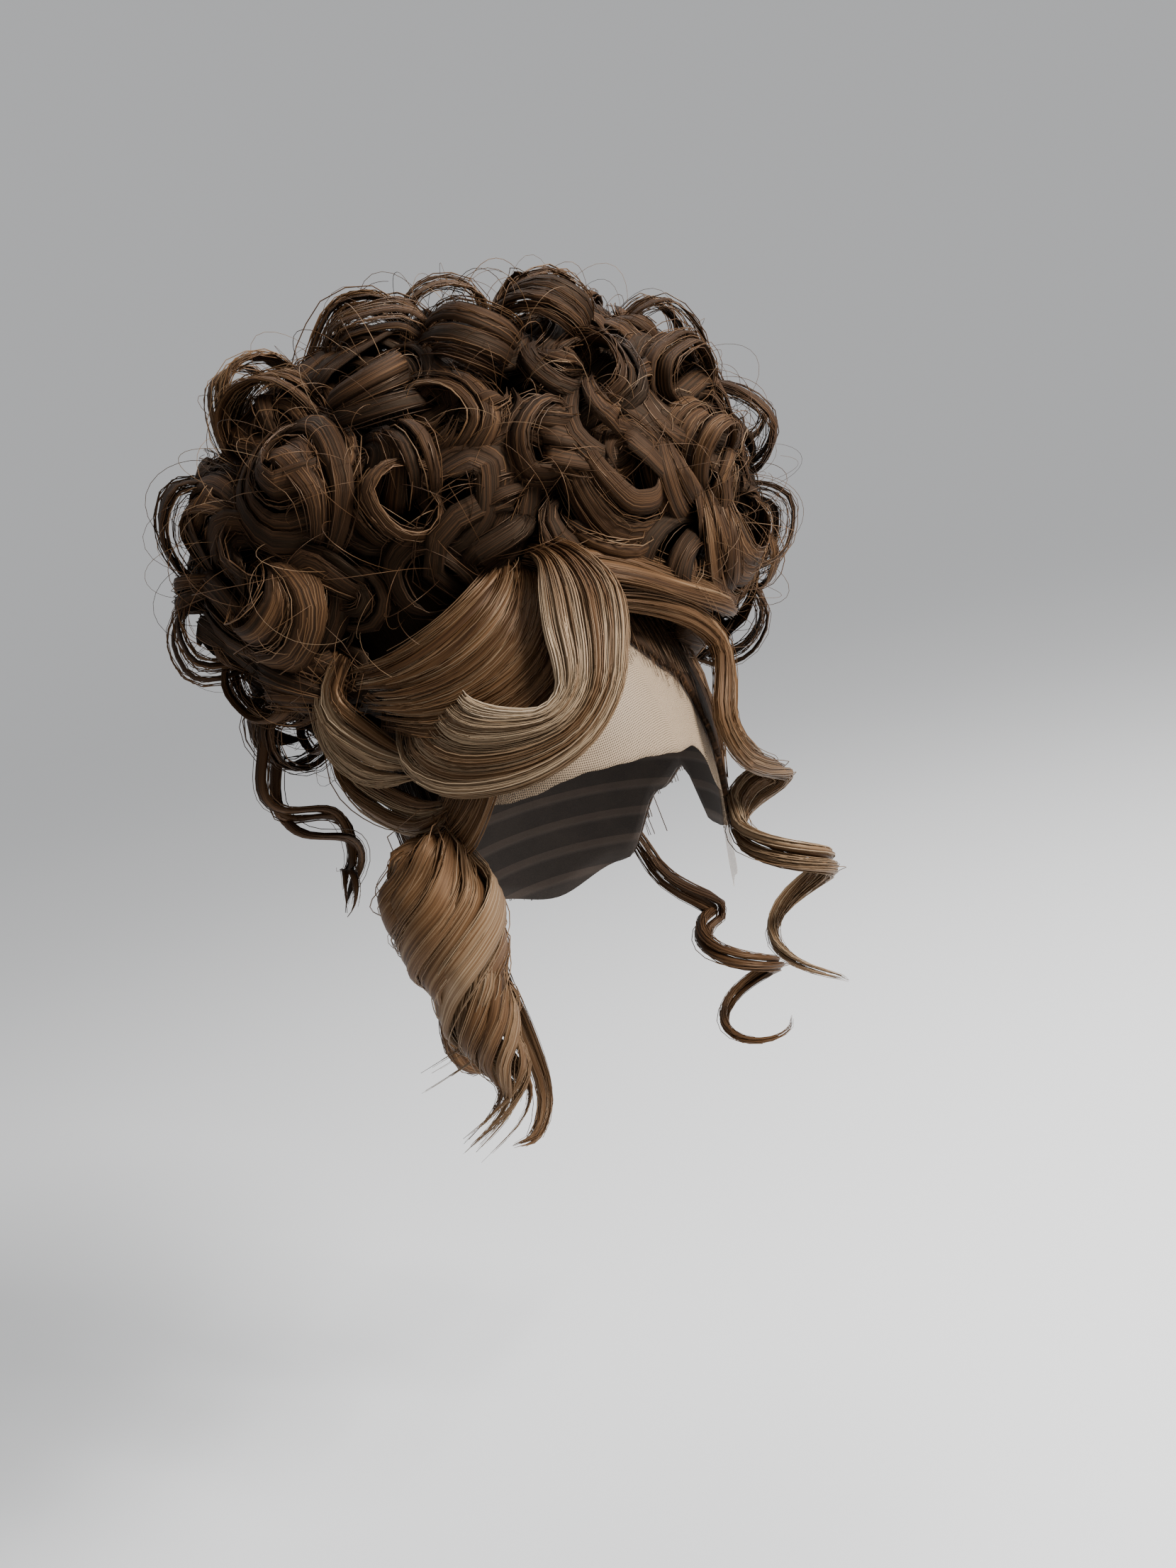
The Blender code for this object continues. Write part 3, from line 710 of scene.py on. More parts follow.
def lace_material():
    """Sheer net of small six-sided holes, with tiny knots that thicken towards the hairline."""
    made, tree = new_material("front lace net")
    place = tree.node("ShaderNodeUVMap", {"uv_map": "LaceUV"})
    parts = tree.node("ShaderNodeSeparateXYZ", sockets={"Vector": place})
    down = parts.output("Y")
    cells = tree.node("ShaderNodeTexVoronoi", {"feature": "DISTANCE_TO_EDGE"},
                      {"Vector": place, "Scale": NET_CELLS, "Randomness": 0.15})
    thread = tree.ranged(cells, (0.05, 0.22), (1.0, 0.0))
    knots = tree.node("ShaderNodeTexVoronoi", {"feature": "F1"},
                      {"Vector": place, "Scale": NET_KNOTS, "Randomness": 0.6})
    near = tree.ranged(down, (0.0, 0.012), (0.42, 0.0))
    knot = tree.math("LESS_THAN", knots, near)
    colour = tree.node("ShaderNodeMix", {"data_type": "RGBA"},
                       {"Factor": knot, "A": (0.50, 0.36, 0.23, 1.0), "B": (0.05, 0.028, 0.016, 1.0)})
    alpha = tree.math("MAXIMUM", 0.10 + 0.44 * thread, knot)
    finish_material(tree, {"Base Color": colour, "Roughness": 0.6, "Alpha": alpha})
    return made


def cap_material():
    """Dark stretch net, with the rows of sewn wefts showing as bands down the cap."""
    made, tree = new_material("cap stretch net")
    place = tree.node("ShaderNodeTexCoord").output("Object")
    height = tree.node("ShaderNodeSeparateXYZ", sockets={"Vector": place}).output("Z")
    rows = tree.math("FRACT", height * WEFTS_PER_METRE)
    weft = tree.ranged(rows, (0.62, 0.80), (0.0, 1.0), "SMOOTHSTEP")
    cloud = tree.noise(place, 60.0, 4.0)
    grain = tree.noise(place, 1400.0, 1.0)
    shade = 0.008 + 0.020 * cloud + 0.028 * weft + 0.018 * grain
    colour = tree.node("ShaderNodeCombineColor",
                       sockets={"Red": shade, "Green": shade * 0.70, "Blue": shade * 0.52})
    relief = tree.node("ShaderNodeBump",
                       sockets={"Strength": 0.6, "Distance": 0.0006, "Height": weft + 0.3 * grain})
    finish_material(tree, {"Base Color": colour, "Roughness": 0.85, "Normal": relief})
    return made


def floor_material():
    made, tree = new_material("pale floor")
    place = tree.node("ShaderNodeTexCoord").output("Object")
    cloud = tree.noise(place, 1.5, 3.0)
    far = tree.node("ShaderNodeVectorMath", {"operation": "LENGTH"}, {"Vector": place})
    # painted light: the floor grows paler further off, where only the sky lights it, so that it meets the
    # sky with no horizon
    plain = tree.ranged(far, (1.0, 4.0), (0.88, 1.0), "SMOOTHSTEP")
    shade = plain + 0.02 * (cloud - 0.5) * (1.0 - plain)
    colour = tree.node("ShaderNodeCombineColor", sockets={"Red": shade, "Green": shade, "Blue": shade})
    finish_material(tree, {"Base Color": colour, "Roughness": 1.0, "Specular IOR Level": 0.0})
    return made


# Shapes that the solids have too


def eased(table, value):
    """Reads a two-column table, turning gently at each row."""
    for (x0, y0), (x1, y1) in zip(table, table[1:]):
        if value <= x1:
            share = max(0.0, (value - x0) / (x1 - x0))
            return y0 + (y1 - y0) * share * share * (3 - 2 * share)
    return table[-1][1]


def head_angle(depth, lift=0.0):
    """Degrees from the crown at which a surface lifted off the head is this far below the top."""
    if depth < CROWN_HEIGHT:
        return math.degrees(math.acos(min(1.0, (CROWN_HEIGHT - depth) / (CROWN_HEIGHT + lift))))
    return 90 + 90 * (depth - CROWN_HEIGHT) / CROWN_HEIGHT


def head_point(azimuth, angle, lift):
    """A point lifted off the head form: a dome to its widest level, then a slow taper."""
    if angle <= 90:
        height = (CROWN_HEIGHT + lift) * math.cos(math.radians(angle)) - CROWN_HEIGHT
        reach = math.sin(math.radians(angle))
    else:
        below = (angle - 90) / 90
        height = -CROWN_HEIGHT * (1 + below)
        reach = 1 - HEAD_TAPER * below * below
    turn = math.radians(azimuth)
    across = (HEAD_WIDTH / 2 + lift) * reach * math.sin(turn)
    forward = (HEAD_LENGTH / 2 + lift) * reach * math.cos(turn)
    return np.array((across, -forward, height))


def edge_angle(table, azimuth):
    """Degrees from the crown of an edge table, the same on both sides of the head."""
    around = abs((azimuth + 180) % 360 - 180)
    return head_angle(eased(table, around) * CAP_DEPTH)


def base_lift(azimuth, angle):
    """Outer surface of the combed hair: thin at the hairline, full at the crown, in swept sections."""
    share = min(1.0, angle / edge_angle(HAIRLINE, azimuth))
    body = BASE_EDGE + (BASE_CROWN - BASE_EDGE) * (1 - share * share)
    fade = math.sin(math.pi * share) ** 2
    ridge = BASE_RIDGE * fade * math.cos(math.radians(BASE_SECTIONS * azimuth))
    return CAP_WALL + CLEARANCE + body + ridge


def pile_point(azimuth, elevation, lift):
    """A point on the pile's core, which is fuller below its middle than above it."""
    turn = math.radians(azimuth)
    rise = math.radians(elevation)
    tall = PILE_TOP if elevation > 0 else PILE_BOTTOM
    across = PILE_ACROSS + (PILE_HALF_WIDTH + lift) * math.cos(rise) * math.sin(turn)
    behind = PILE_BEHIND - (PILE_HALF_DEPTH + lift) * math.cos(rise) * math.cos(turn)
    return np.array((across, behind, PILE_ABOVE + (tall + lift) * math.sin(rise)))


def unit(vectors):
    return vectors / np.linalg.norm(vectors, axis=-1, keepdims=True)


def pile_axes(azimuth, elevation):
    """Directions out of the pile, level along it and up along it."""
    turn = math.radians(azimuth)
    rise = math.radians(elevation)
    out = np.array((math.cos(rise) * math.sin(turn), -math.cos(rise) * math.cos(turn), math.sin(rise)))
    level = unit(np.cross((0.0, 0.0, 1.0), out))
    return out, level, np.cross(out, level)


def smooth_path(rows, steps):
    """Points on a smooth curve through the rows."""
    knots = np.array(rows, dtype=float)
    before = 2 * knots[0] - knots[1]
    after = 2 * knots[-1] - knots[-2]
    knots = np.vstack((before, knots, after))
    path = []
    for a, b, c, d in zip(knots, knots[1:], knots[2:], knots[3:]):
        for step in range(steps):
            t = step / steps
            path.append(0.5 * (2 * b + (c - a) * t + (2 * a - 5 * b + 4 * c - d) * t * t
                               + (3 * b - a - 3 * c + d) * t ** 3))
    path.append(knots[-2])
    return np.array(path)


def clear_of_head(points, margin):
    """Moves points that lie in the head form, or within the margin of it, out to the margin."""
    moved = points.copy()
    sizes = np.array((HEAD_WIDTH / 2, HEAD_LENGTH / 2, CROWN_HEIGHT)) + margin
    middle = np.array((0.0, 0.0, -CROWN_HEIGHT))
    upper = moved[:, 2] > -CROWN_HEIGHT
    reach = np.linalg.norm((moved - middle) / sizes, axis=1)
    inside = upper & (reach < 1)
    moved[inside] = middle + (moved[inside] - middle) / np.maximum(reach[inside], 0.2)[:, None]
    below = np.clip((-CROWN_HEIGHT - moved[:, 2]) / CROWN_HEIGHT, 0, 1.2)
    taper = 1 - HEAD_TAPER * below * below
    flat = np.linalg.norm(moved[:, :2] / sizes[:2], axis=1) / taper
    inside = ~upper & (flat < 1) & (moved[:, 2] > -CAP_DEPTH * 1.1)
    moved[inside, :2] /= np.maximum(flat[inside], 0.2)[:, None]
    return moved


# Locks


def head_row(azimuth, angle, lift, width):
    """Position, facing and width share of a ribbon at one place off the head."""
    point = head_point(azimuth, angle, lift)
    return (*point, *unit(head_point(azimuth, angle, lift + HEAD_WIDTH) - point), width)


def head_rows(table):
    """Rows for a ribbon laid over the head."""
    rows = []
    for azimuth, drop, lift, width in table:
        height = lift * LOCK_LIFT
        angle = head_angle(drop * CAP_DEPTH, height)
        rows.append(head_row(azimuth, angle, height, width))
    return rows


def ringlet_rows(shape, length, radius):
    """Rows down a ringlet's helix, whose ribbon faces away from the ringlet's axis."""
    across = shape["across"] * HEAD_WIDTH / 2
    forward = shape["forward"] * HEAD_LENGTH / 2
    top = -shape["top"] * CAP_DEPTH
    rows = []
    count = round(shape["turns"] * 10)
    for step in range(count + 1):
        share = step / count
        turn = math.radians(shape["phase"] + 360 * shape["turns"] * share)
        out = np.array((math.sin(turn), -math.cos(turn), 0.0))
        reach = radius * (shape["wide"] + (shape["narrow"] - shape["wide"]) * share)
        hooked = shape["hook"] * max(0.0, (share - 0.7) / 0.3) ** 2
        centre = np.array((across, -forward, top - share * shape["length"] * length + hooked))
        width = shape["width"] * (1.0 - 0.65 * share)
        rows.append((*(centre + out * reach), *out, width))
    return rows


def steady(facing):
    """Keeps a ribbon from turning over between one point and the next."""
    kept = np.where((facing[1:] * facing[:-1]).sum(axis=1) < 0, -1.0, 1.0)
    return facing * np.concatenate(([1.0], np.cumprod(kept)))[:, None]


def make_lock(rows, width, depth, tone, strands, steps, tip=0.5):
    """A ribbon through rows of position, facing and width share, narrower at its tip."""
    path = smooth_path(rows, steps)
    points = path[:, :3]
    tangents = unit(np.gradient(points, axis=0))
    facing = path[:, 3:6]
    for _ in range(3):
        facing = steady(unit(facing - (facing * tangents).sum(axis=1, keepdims=True) * tangents))
        facing[1:-1] = (facing[:-2] + 2 * facing[1:-1] + facing[2:]) / 4
    facing = unit(facing - (facing * tangents).sum(axis=1, keepdims=True) * tangents)
    share = np.linspace(0, 1, len(points))
    narrow = path[:, 6] * (1 - (1 - tip) * share ** 5)
    half_depth = np.minimum(depth, narrow * depth * 1.4) / 2
    tones = np.full(len(points), tone)
    return Lock(points, np.cross(tangents, facing), facing, narrow * width / 2, half_depth, tones, strands)


def split(lock, count, rng, tones=None, overlap=1.35, lift=0.8, loose=1.0):
    """Narrower locks side by side across one lock, which wander and lie over each other."""
    share = np.linspace(0, 1, len(lock.points))
    parts = []
    for number in range(count):
        place = (number + 0.5) / count * 2 - 1
        wander = loose * rng.uniform(0.2, 0.7) * np.sin(share * rng.uniform(2, 6) + rng.uniform(0, 6.3))
        sideways = (place + wander / count) * lock.half_width
        raised = rng.uniform(-lift, lift) * lock.half_depth
        points = lock.points + lock.side * sideways[:, None] + lock.facing * raised[:, None]
        tone = lock.tone + (tones[number] if tones else rng.normal(0, 0.05))
        parts.append(Lock(points, lock.side, lock.facing, lock.half_width / count * overlap,
                          lock.half_depth, tone, lock.strands, lock.body))
    return parts


def curl_rows(azimuth, elevation, size, turns, tilt, spin, lift=0.006):
    """Rows of one curl of the pile: up out of the pile, then inwards round a tilted axis."""
    centre = pile_point(azimuth, elevation, lift)
    out, level, rise = pile_axes(azimuth, elevation)
    turn = math.radians(spin)
    lean = level * math.cos(turn) + rise * math.sin(turn)
    axis = out * math.cos(math.radians(tilt)) + lean * math.sin(math.radians(tilt))
    first = unit(np.cross(axis, lean + out * 0.01))
    second = np.cross(axis, first)
    funnel_out = 0.9 * max(0.0, 1 - tilt / 60)
    funnel_in = 1 - 0.55 * max(0.0, 1 - tilt / 60)
    rows = []
    count = round(turns * ROWS_PER_TURN)
    for step in range(-2, count + 1):
        share = max(0.0, step / count)
        lead = max(0.0, -step / 2)
        angle = math.radians(360 * turns * share - 80 * lead)
        spoke = first * math.cos(angle) + second * math.sin(angle)
        wobble = 1 + 0.10 * math.sin(2 * angle + azimuth) + 0.05 * math.sin(3 * angle + spin)
        reach = size * CURL_RADIUS * (1 - 0.48 * share + 0.15 * lead) * wobble
        width = (0.55 + 0.45 * math.sin(math.pi * share)) * (1 - 0.35 * lead) * size
        point = centre + spoke * reach + axis * CURL_RIBBON * 0.5 * (share - 0.5) - out * 0.026 * lead ** 2
        rows.append((*point, *(spoke * funnel_in + out * funnel_out), width))
    return rows


def pile_place(rng, number, count):
    """Evenly spread places over the pile, leaving out its underside, where the head is."""
    rise = 1 - 1.72 * (number + 0.5) / count
    elevation = math.degrees(math.asin(rise)) + rng.uniform(-6, 6)
    azimuth = number * GOLDEN_TURN + rng.uniform(-8, 8)
    return (azimuth + 180) % 360 - 180, max(-58, min(84, elevation))


def wave_rows(rng, azimuth, elevation):
    """Rows of a wavy lock that wanders over the pile, tucked in at both ends."""
    heading = rng.uniform(0, 2 * math.pi)
    span = rng.uniform(24, 46)
    sway = rng.uniform(4, 9)
    beat = rng.uniform(1.0, 1.8)
    start = rng.uniform(0, 6.3)
    rows = []
    count = 8
    for step in range(count + 1):
        share = step / count
        ahead = (share - 0.5) * span
        aside = sway * math.sin(2 * math.pi * beat * share + start)
        round_there = max(0.35, math.cos(math.radians(elevation)))
        a = azimuth + (math.cos(heading) * ahead - math.sin(heading) * aside) / round_there
        e = max(-70, min(86, elevation + math.sin(heading) * ahead + math.cos(heading) * aside))
        lift = -0.006 + 0.016 * math.sin(math.pi * share) + 0.005 * math.sin(7 * share + start)
        out = pile_axes(a, e)[0]
        rows.append((*pile_point(a, e, lift), *out, 0.45 + 0.55 * math.sin(math.pi * share)))
    return rows


def curl_locks(rows, kind, rng):
    """One curl as a ribbon, split into narrower locks that lie over each other."""
    tone = rng.normal(kind.tone, kind.tone_spread)
    whole = make_lock(rows, kind.width, CURL_DEPTH, tone, kind.strands, kind.steps, tip=kind.tip)
    whole.body = kind.body
    return split(whole, kind.parts, rng, overlap=kind.overlap, lift=kind.lift, loose=kind.loose)


def pile_locks(rng):
    """Locks of the large curls, then of the swirls, small curls and waves between and under them."""
    locks = []
    mirrored = [(180 - azimuth, *rest) for azimuth, *rest in FRONT_CURLS]
    for azimuth, elevation, size, turns, tilt, spin in [*FRONT_CURLS, *mirrored, *RIM_CURLS]:
        on_rim = tilt > RIM_TILT
        rows = curl_rows(azimuth, elevation, size, turns * 0.85, tilt if on_rim else tilt * 0.8, spin)
        locks += curl_locks(rows, RIM_CURL if on_rim else LARGE_CURL, rng)
    for number in range(SWIRLS):
        azimuth, elevation = pile_place(rng, number + 0.3, SWIRLS)
        rows = curl_rows(azimuth, min(elevation, SWIRL_TOP), rng.uniform(0.75, 1.25), rng.uniform(0.6, 0.95),
                         rng.uniform(0, 30), rng.uniform(0, 360), rng.uniform(0.003, 0.010))
        locks += curl_locks(rows, SWIRL, rng)
    for number in range(SMALL_CURLS):
        azimuth, elevation = pile_place(rng, number, SMALL_CURLS)
        rows = curl_rows(azimuth, elevation, rng.uniform(0.5, 0.9), rng.uniform(0.8, 1.3),
                         rng.uniform(15, 88), rng.uniform(0, 360), rng.uniform(-0.004, 0.008))
        locks += curl_locks(rows, SMALL_CURL, rng)
    for number in range(WAVES):
        azimuth, elevation = pile_place(rng, number, WAVES)
        locks += curl_locks(wave_rows(rng, azimuth, elevation), WAVE, rng)
    for lock in locks:
        lock.points = clear_of_head(lock.points, HEAD_MARGIN)
        # painted shade: locks deep in the pile lose tone, standing for the shade between the curls
        sunk = np.clip((SHADE_HEIGHT - pile_height(lock.points)) / SHADE_DEPTH, 0, 1)
        lock.tone = lock.tone - PAINTED_SHADE_TONE * sunk
    return [lock for lock in locks if not hangs_on_fringe(lock.points)]


def hangs_on_fringe(points):
    """Whether much of a lock would hang over the fringe, below the panel's upper edge."""
    heights = [row[2] for row in head_rows(PANEL_UPPER_EDGE)]
    places = [row[0] for row in PANEL_UPPER_EDGE]
    around = np.degrees(np.arctan2(points[:, 0] / HEAD_WIDTH, -points[:, 1] / HEAD_LENGTH))
    edge = np.interp(around, places[::-1], heights[::-1])
    over = (points[:, 2] < edge) & (around > places[-1]) & (around < places[0] + 16)
    return over.mean() > 0.2


def pile_height(points):
    """How far points stand out of the pile's core, in metres."""
    tall = np.where(points[:, 2] > PILE_ABOVE, PILE_TOP, PILE_BOTTOM)
    across = (points[:, 0] - PILE_ACROSS) / PILE_HALF_WIDTH
    behind = (points[:, 1] - PILE_BEHIND) / PILE_HALF_DEPTH
    above = (points[:, 2] - PILE_ABOVE) / tall
    reach = np.sqrt(across ** 2 + behind ** 2 + above ** 2)
    return (reach - 1) * PILE_HALF_DEPTH


def flyaway_locks(rng):
    """Single hairs that arc out of the pile, some nearly round, with loose ends."""
    locks = []
    for number in range(LOOSE_HAIRS):
        azimuth, elevation = pile_place(rng, number, LOOSE_HAIRS)
        start = pile_point(azimuth, elevation, LOOSE_START)
        out, level, rise = pile_axes(azimuth, elevation)
        turn = rng.uniform(0, 2 * math.pi)
        ahead = level * math.cos(turn) + rise * math.sin(turn)
        aside = np.cross(out, ahead)
        back = 0.75 + 0.25 * math.cos(math.radians(azimuth))
        reach = rng.uniform(*LOOSE_REACH)
        height = min(LOOSE_HEIGHT * back, reach * rng.uniform(1.0, 2.2) * back)
        sweep = rng.uniform(2.6, 5.6)
        lean = rng.uniform(-0.6, 0.6)
        rows = []
        for share in np.linspace(0, 1, 11):
            angle = sweep * share
            shrink = 1 - 0.25 * share
            point = (start + ahead * reach * (1 - shrink * math.cos(angle))
                     + out * height * shrink * math.sin(angle) + aside * reach * lean * share)
            rows.append((*point, *out, 1.0))
        locks.append(make_lock(rows, SINGLE_WIDTH, SINGLE_WIDTH, rng.uniform(*LOOSE_TONES), 1, 3))
    return locks


def fanned_locks(first_edge, last_edge, tones, strands, rng):
    """Locks side by side between two edge tables, each a blend of the two, one for each tone."""
    count = len(tones)
    first = np.array(first_edge, dtype=float)
    last = np.array(last_edge, dtype=float)
    whole = [smooth_path(head_rows(edge), FAN_STEPS) for edge in (first, last)]
    gap = np.linalg.norm(whole[1][:, :3] - whole[0][:, :3], axis=1)
    locks = []
    for number, tone in enumerate(tones):
        rows = head_rows(first + (last - first) * (number + 0.5) / count)
        tone += rng.normal(0, 0.02)
        lock = make_lock(rows, 0.01, LOCK_DEPTH * 0.7, tone, strands, FAN_STEPS)
        offset = rng.uniform(-0.35, 0.35)
        beat = np.linspace(0, rng.uniform(2, 5), len(gap))
        wander = offset + 0.35 * np.sin(beat + rng.uniform(0, 6))
        raised = rng.uniform(-0.5, 0.5) * lock.half_depth
        lock.points = (lock.points + lock.side * (wander * gap / count)[:, None]
                       + lock.facing * raised[:, None])
        lock.half_width = gap / count * 1.1 * np.minimum(1.0, lock.half_width / 0.004)
        locks.append(lock)
    return locks


def fringe_locks(rng):
    """The looped swoop and, under it, the fan of hair from the parting down to the temple."""
    swoop = fanned_locks(SWOOP_INNER_EDGE, SWOOP_OUTER_EDGE, SWOOP_TONES, 32, rng)
    panel = fanned_locks(PANEL_UPPER_EDGE, PANEL_LOWER_EDGE, PANEL_TONES, 28, rng)
    rooted(swoop, 0.22)
    rooted(panel, 0.26)
    return swoop, panel


def rooted(locks, darker):
    """Darkens the roots of light locks, as on hair that is lightened towards its tips."""
    for lock in locks:
        share = np.linspace(0, 1, len(lock.points))
        lock.tone = lock.tone - darker * np.clip(1 - share * ROOT_FADE, 0, 1)


def laid_locks(node, rng):
    """The locks of one piece that lies on the head, side by side and a little crossed."""
    table, width, tone, count, strands, spread, darker = LAID_LOCKS[node]
    steps = WAVY_STEPS if node == WAVY_LOCK else LAID_STEPS
    whole = make_lock(head_rows(table), width, LOCK_DEPTH, tone, strands, steps)
    parts = split(whole, count, rng, tones=[rng.uniform(-spread, spread) for _ in range(count)])
    rooted(parts, darker)
    return wavy(parts, WAVE_SIZE, rng) if node == WAVY_LOCK else parts


def coiled_locks(name, lead, length, radius, width, tone, count, strands, rng):
    """The locks of a ringlet, down its lead on the head and then round its helix."""
    rows = head_rows(lead) + ringlet_rows(RINGLETS[name], length, radius)
    whole = make_lock(rows, width, LOCK_DEPTH, tone, strands, 3, tip=0.3)
    parts = split(whole, count, rng, tones=[rng.uniform(-0.09, 0.12) for _ in range(count)])
    rooted(parts, 0.12)
    return parts


def barrel_locks(lead, strands, rng):
    """The wide left ringlet: steep locks round a barrel that gathers to a swaying tail."""
    shape = RINGLETS["face_ringlet_left"]
    across = shape["across"] * HEAD_WIDTH / 2
    forward = shape["forward"] * HEAD_LENGTH / 2
    locks = []
    for number in range(BARREL_LOCKS + BARREL_FILL):
        place = number / BARREL_LOCKS
        top = -(shape["top"] - BARREL_RAISE + rng.uniform(-0.02, 0.02)) * CAP_DEPTH
        short = SHORT_SHARE if number in BARREL_SHORT else 1.0
        length = shape["length"] * RINGLET_LENGTH * rng.uniform(1.12, 1.24) * short
        reach = RINGLET_RADIUS * (rng.uniform(0.95, 1.05) if number < BARREL_LOCKS else FILL_REACH)
        rows = head_rows([(azimuth + 10 * (place - 0.5), drop, lift, width * 0.7)
                          for azimuth, drop, lift, width in lead])
        for step in range(BARREL_STEPS + 1):
            share = step / BARREL_STEPS
            turn = math.radians(90 + 360 * place - BARREL_TWIST * share * short)
            out = np.array((math.sin(turn), -math.cos(turn), 0.0))
            full = eased(BARREL_PROFILE, share)
            sway = eased(BARREL_SWAY, share) * (1.0 if short == 1.0 else 1.5)
            centre = np.array((across + sway * RINGLET_RADIUS, -forward, top - share * length))
            rows.append((*(centre + out * reach * full), *out, min(1.0, 1.25 - share)))
        tone = 0.50 + rng.uniform(-0.10, 0.12)
        locks.append(make_lock(rows, RINGLET_WIDTH, LOCK_DEPTH * 0.8, tone, strands, 3, tip=0.3))
    rooted(locks, 0.10)
    return locks


def wavy(locks, size, rng):
    """Bends each lock to and fro by its own small waves."""
    for lock in locks:
        share = np.linspace(0, 1, len(lock.points))
        turn = share * rng.uniform(6, 14) + rng.uniform(0, 6.3)
        grow = size * rng.uniform(0.6, 1.3) * np.minimum(1.0, share * 3)
        lock.points = (lock.points + lock.side * (grow * np.sin(turn))[:, None]
                       + lock.facing * (grow * 0.6 * np.cos(turn * 1.3))[:, None])
    return locks


def combed_locks(rng):
    """Hair combed up and back from the hairline all round, over the base."""
    locks = []
    for number in range(COMBED_LOCKS):
        azimuth = (number + rng.uniform(-0.3, 0.3)) * 360 / COMBED_LOCKS - 180
        edge = edge_angle(HAIRLINE, azimuth)
        back = 16 * math.sin(math.radians(azimuth)) * (1 if abs(azimuth) < 90 else 0.4)
        rows = []
        for share in (0.0, 0.2, 0.4, 0.6, 0.8):
            angle = edge * (0.995 - 0.75 * share)
            a = azimuth + back * share * 1.6
            lift = base_lift(a, angle) + CLEARANCE + 0.004 * share * math.sin(math.pi * share)
            rows.append(head_row(a, angle, lift, 1.0 - 0.5 * share))
        locks.append(make_lock(rows, 0.016, 0.0022, rng.normal(0.32, 0.05), 8, 2))
    return locks


def hairline_hairs(rng):
    """Short single hairs tied in the lace below the front hairline, fewer further from it."""
    locks = []
    for _ in range(HAIRLINE_HAIRS):
        azimuth = rng.uniform(-TIED_SPAN, TIED_SPAN)
        edge = edge_angle(HAIRLINE, azimuth)
        below = rng.random() ** 2.2 * TIED_DROP
        back = 9 * math.sin(math.radians(azimuth)) + rng.uniform(-3, 3)
        rows = []
        for share in (0.0, 0.5, 1.0):
            angle = edge + below - share * (6 + below)
            a = azimuth + back * share
            lift = LACE_WALL + 0.0006 + 0.004 * share
            rows.append(head_row(a, angle, lift, 1.0))
        locks.append(make_lock(rows, SINGLE_WIDTH, SINGLE_WIDTH * 0.6, rng.uniform(0.15, 0.4), 1, 2))
    return locks


# Meshes


def link_object(name, data):
    made = bpy.data.objects.new(name, data)
    bpy.context.scene.collection.objects.link(made)
    return made


def dress(piece, nodes):
    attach(piece, "root")
    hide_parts(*nodes)
    return piece


def guide_mesh(name, locks):
    """Guide lines as edges, with the values of the locks stored on their points."""
    sizes = [len(lock.points) for lock in locks]
    starts = np.concatenate(([0], np.cumsum(sizes)[:-1]))
    edges = [(start + i, start + i + 1) for start, size in zip(starts, sizes) for i in range(size - 1)]
    mesh = bpy.data.meshes.new(name)
    mesh.from_pydata(np.concatenate([lock.points for lock in locks]).tolist(), edges, [])
    layers = (
        ("side", "FLOAT_VECTOR", [lock.side for lock in locks]),
        ("facing", "FLOAT_VECTOR", [lock.facing for lock in locks]),
        ("along", "FLOAT", [np.linspace(0, 1, size) for size in sizes]),
        ("half_width", "FLOAT", [lock.half_width for lock in locks]),
        ("half_depth", "FLOAT", [lock.half_depth for lock in locks]),
        ("tone", "FLOAT", [lock.tone for lock in locks]),
        ("strands", "INT", [np.full(size, lock.strands) for size, lock in zip(sizes, locks)]),
        ("samples", "INT", [np.full(size, strand_points(lock)) for size, lock in zip(sizes, locks)]),
        ("lock", "INT", [np.full(size, number) for number, size in enumerate(sizes)]),
    )
    for key, kind, parts in layers:
        layer = mesh.attributes.new(key, kind, "POINT")
        values = np.concatenate(parts).ravel().astype(np.int32 if kind == "INT" else np.float32)
        layer.data.foreach_set("vector" if kind == "FLOAT_VECTOR" else "value", values)
    return mesh


def strand_points(lock):
    """Points on each strand, fewer than on its guide line and at other places on each strand."""
    return max(4, round(len(lock.points) * SAMPLE_SHARE))


def strand_triangles(lock):
    return lock.strands * ((strand_points(lock) - 1) * 6 + 2)


def grouped(locks):
    """Locks in groups whose strands stay under a piece's triangles."""
    groups = [[]]
    total = 0
    for lock in locks:
        total += strand_triangles(lock)
        if total > PIECE_TRIANGLES:
            groups.append([])
            total = strand_triangles(lock)
        groups[-1].append(lock)
    return groups


def grow_strands(name, locks, finish, nodes, seed, radius=STRAND_RADIUS, tightness=0.45,
                 drift=0.10, stray=1.6, shortest=0.82, tone_spread=0.05):
    """Runs the strand tree over the locks and keeps the result as plain pieces."""
    groups = grouped(locks)
    for number, group in enumerate(groups):
        title = name if len(groups) == 1 else f"{name}_{number + 1}"
        piece = link_object(title, guide_mesh(title, group))
        step = piece.modifiers.new("Strands", "NODES")
        step.node_group = strand_tree
        given = {"Strand Radius": radius, "Tightness": tightness, "Clumps": CLUMPS, "Drift": drift,
                 "Stray": stray, "Shortest": shortest, "Tone Spread": tone_spread,
                 "Seed": seed * 100 + number * 20, "Material": finish}
        for item in strand_tree.interface.items_tree:
            if item.in_out == "INPUT" and item.name in given:
                step[item.identifier] = given[item.name]
        graph = bpy.context.evaluated_depsgraph_get()
        mesh = bpy.data.meshes.new_from_object(piece.evaluated_get(graph), depsgraph=graph)
        guide = piece.data
        piece.modifiers.remove(step)
        piece.data = mesh
        bpy.data.meshes.remove(guide)
        for key in GUIDE_VALUES:
            if key in mesh.attributes:
                mesh.attributes.remove(mesh.attributes[key])
        dress(piece, nodes)


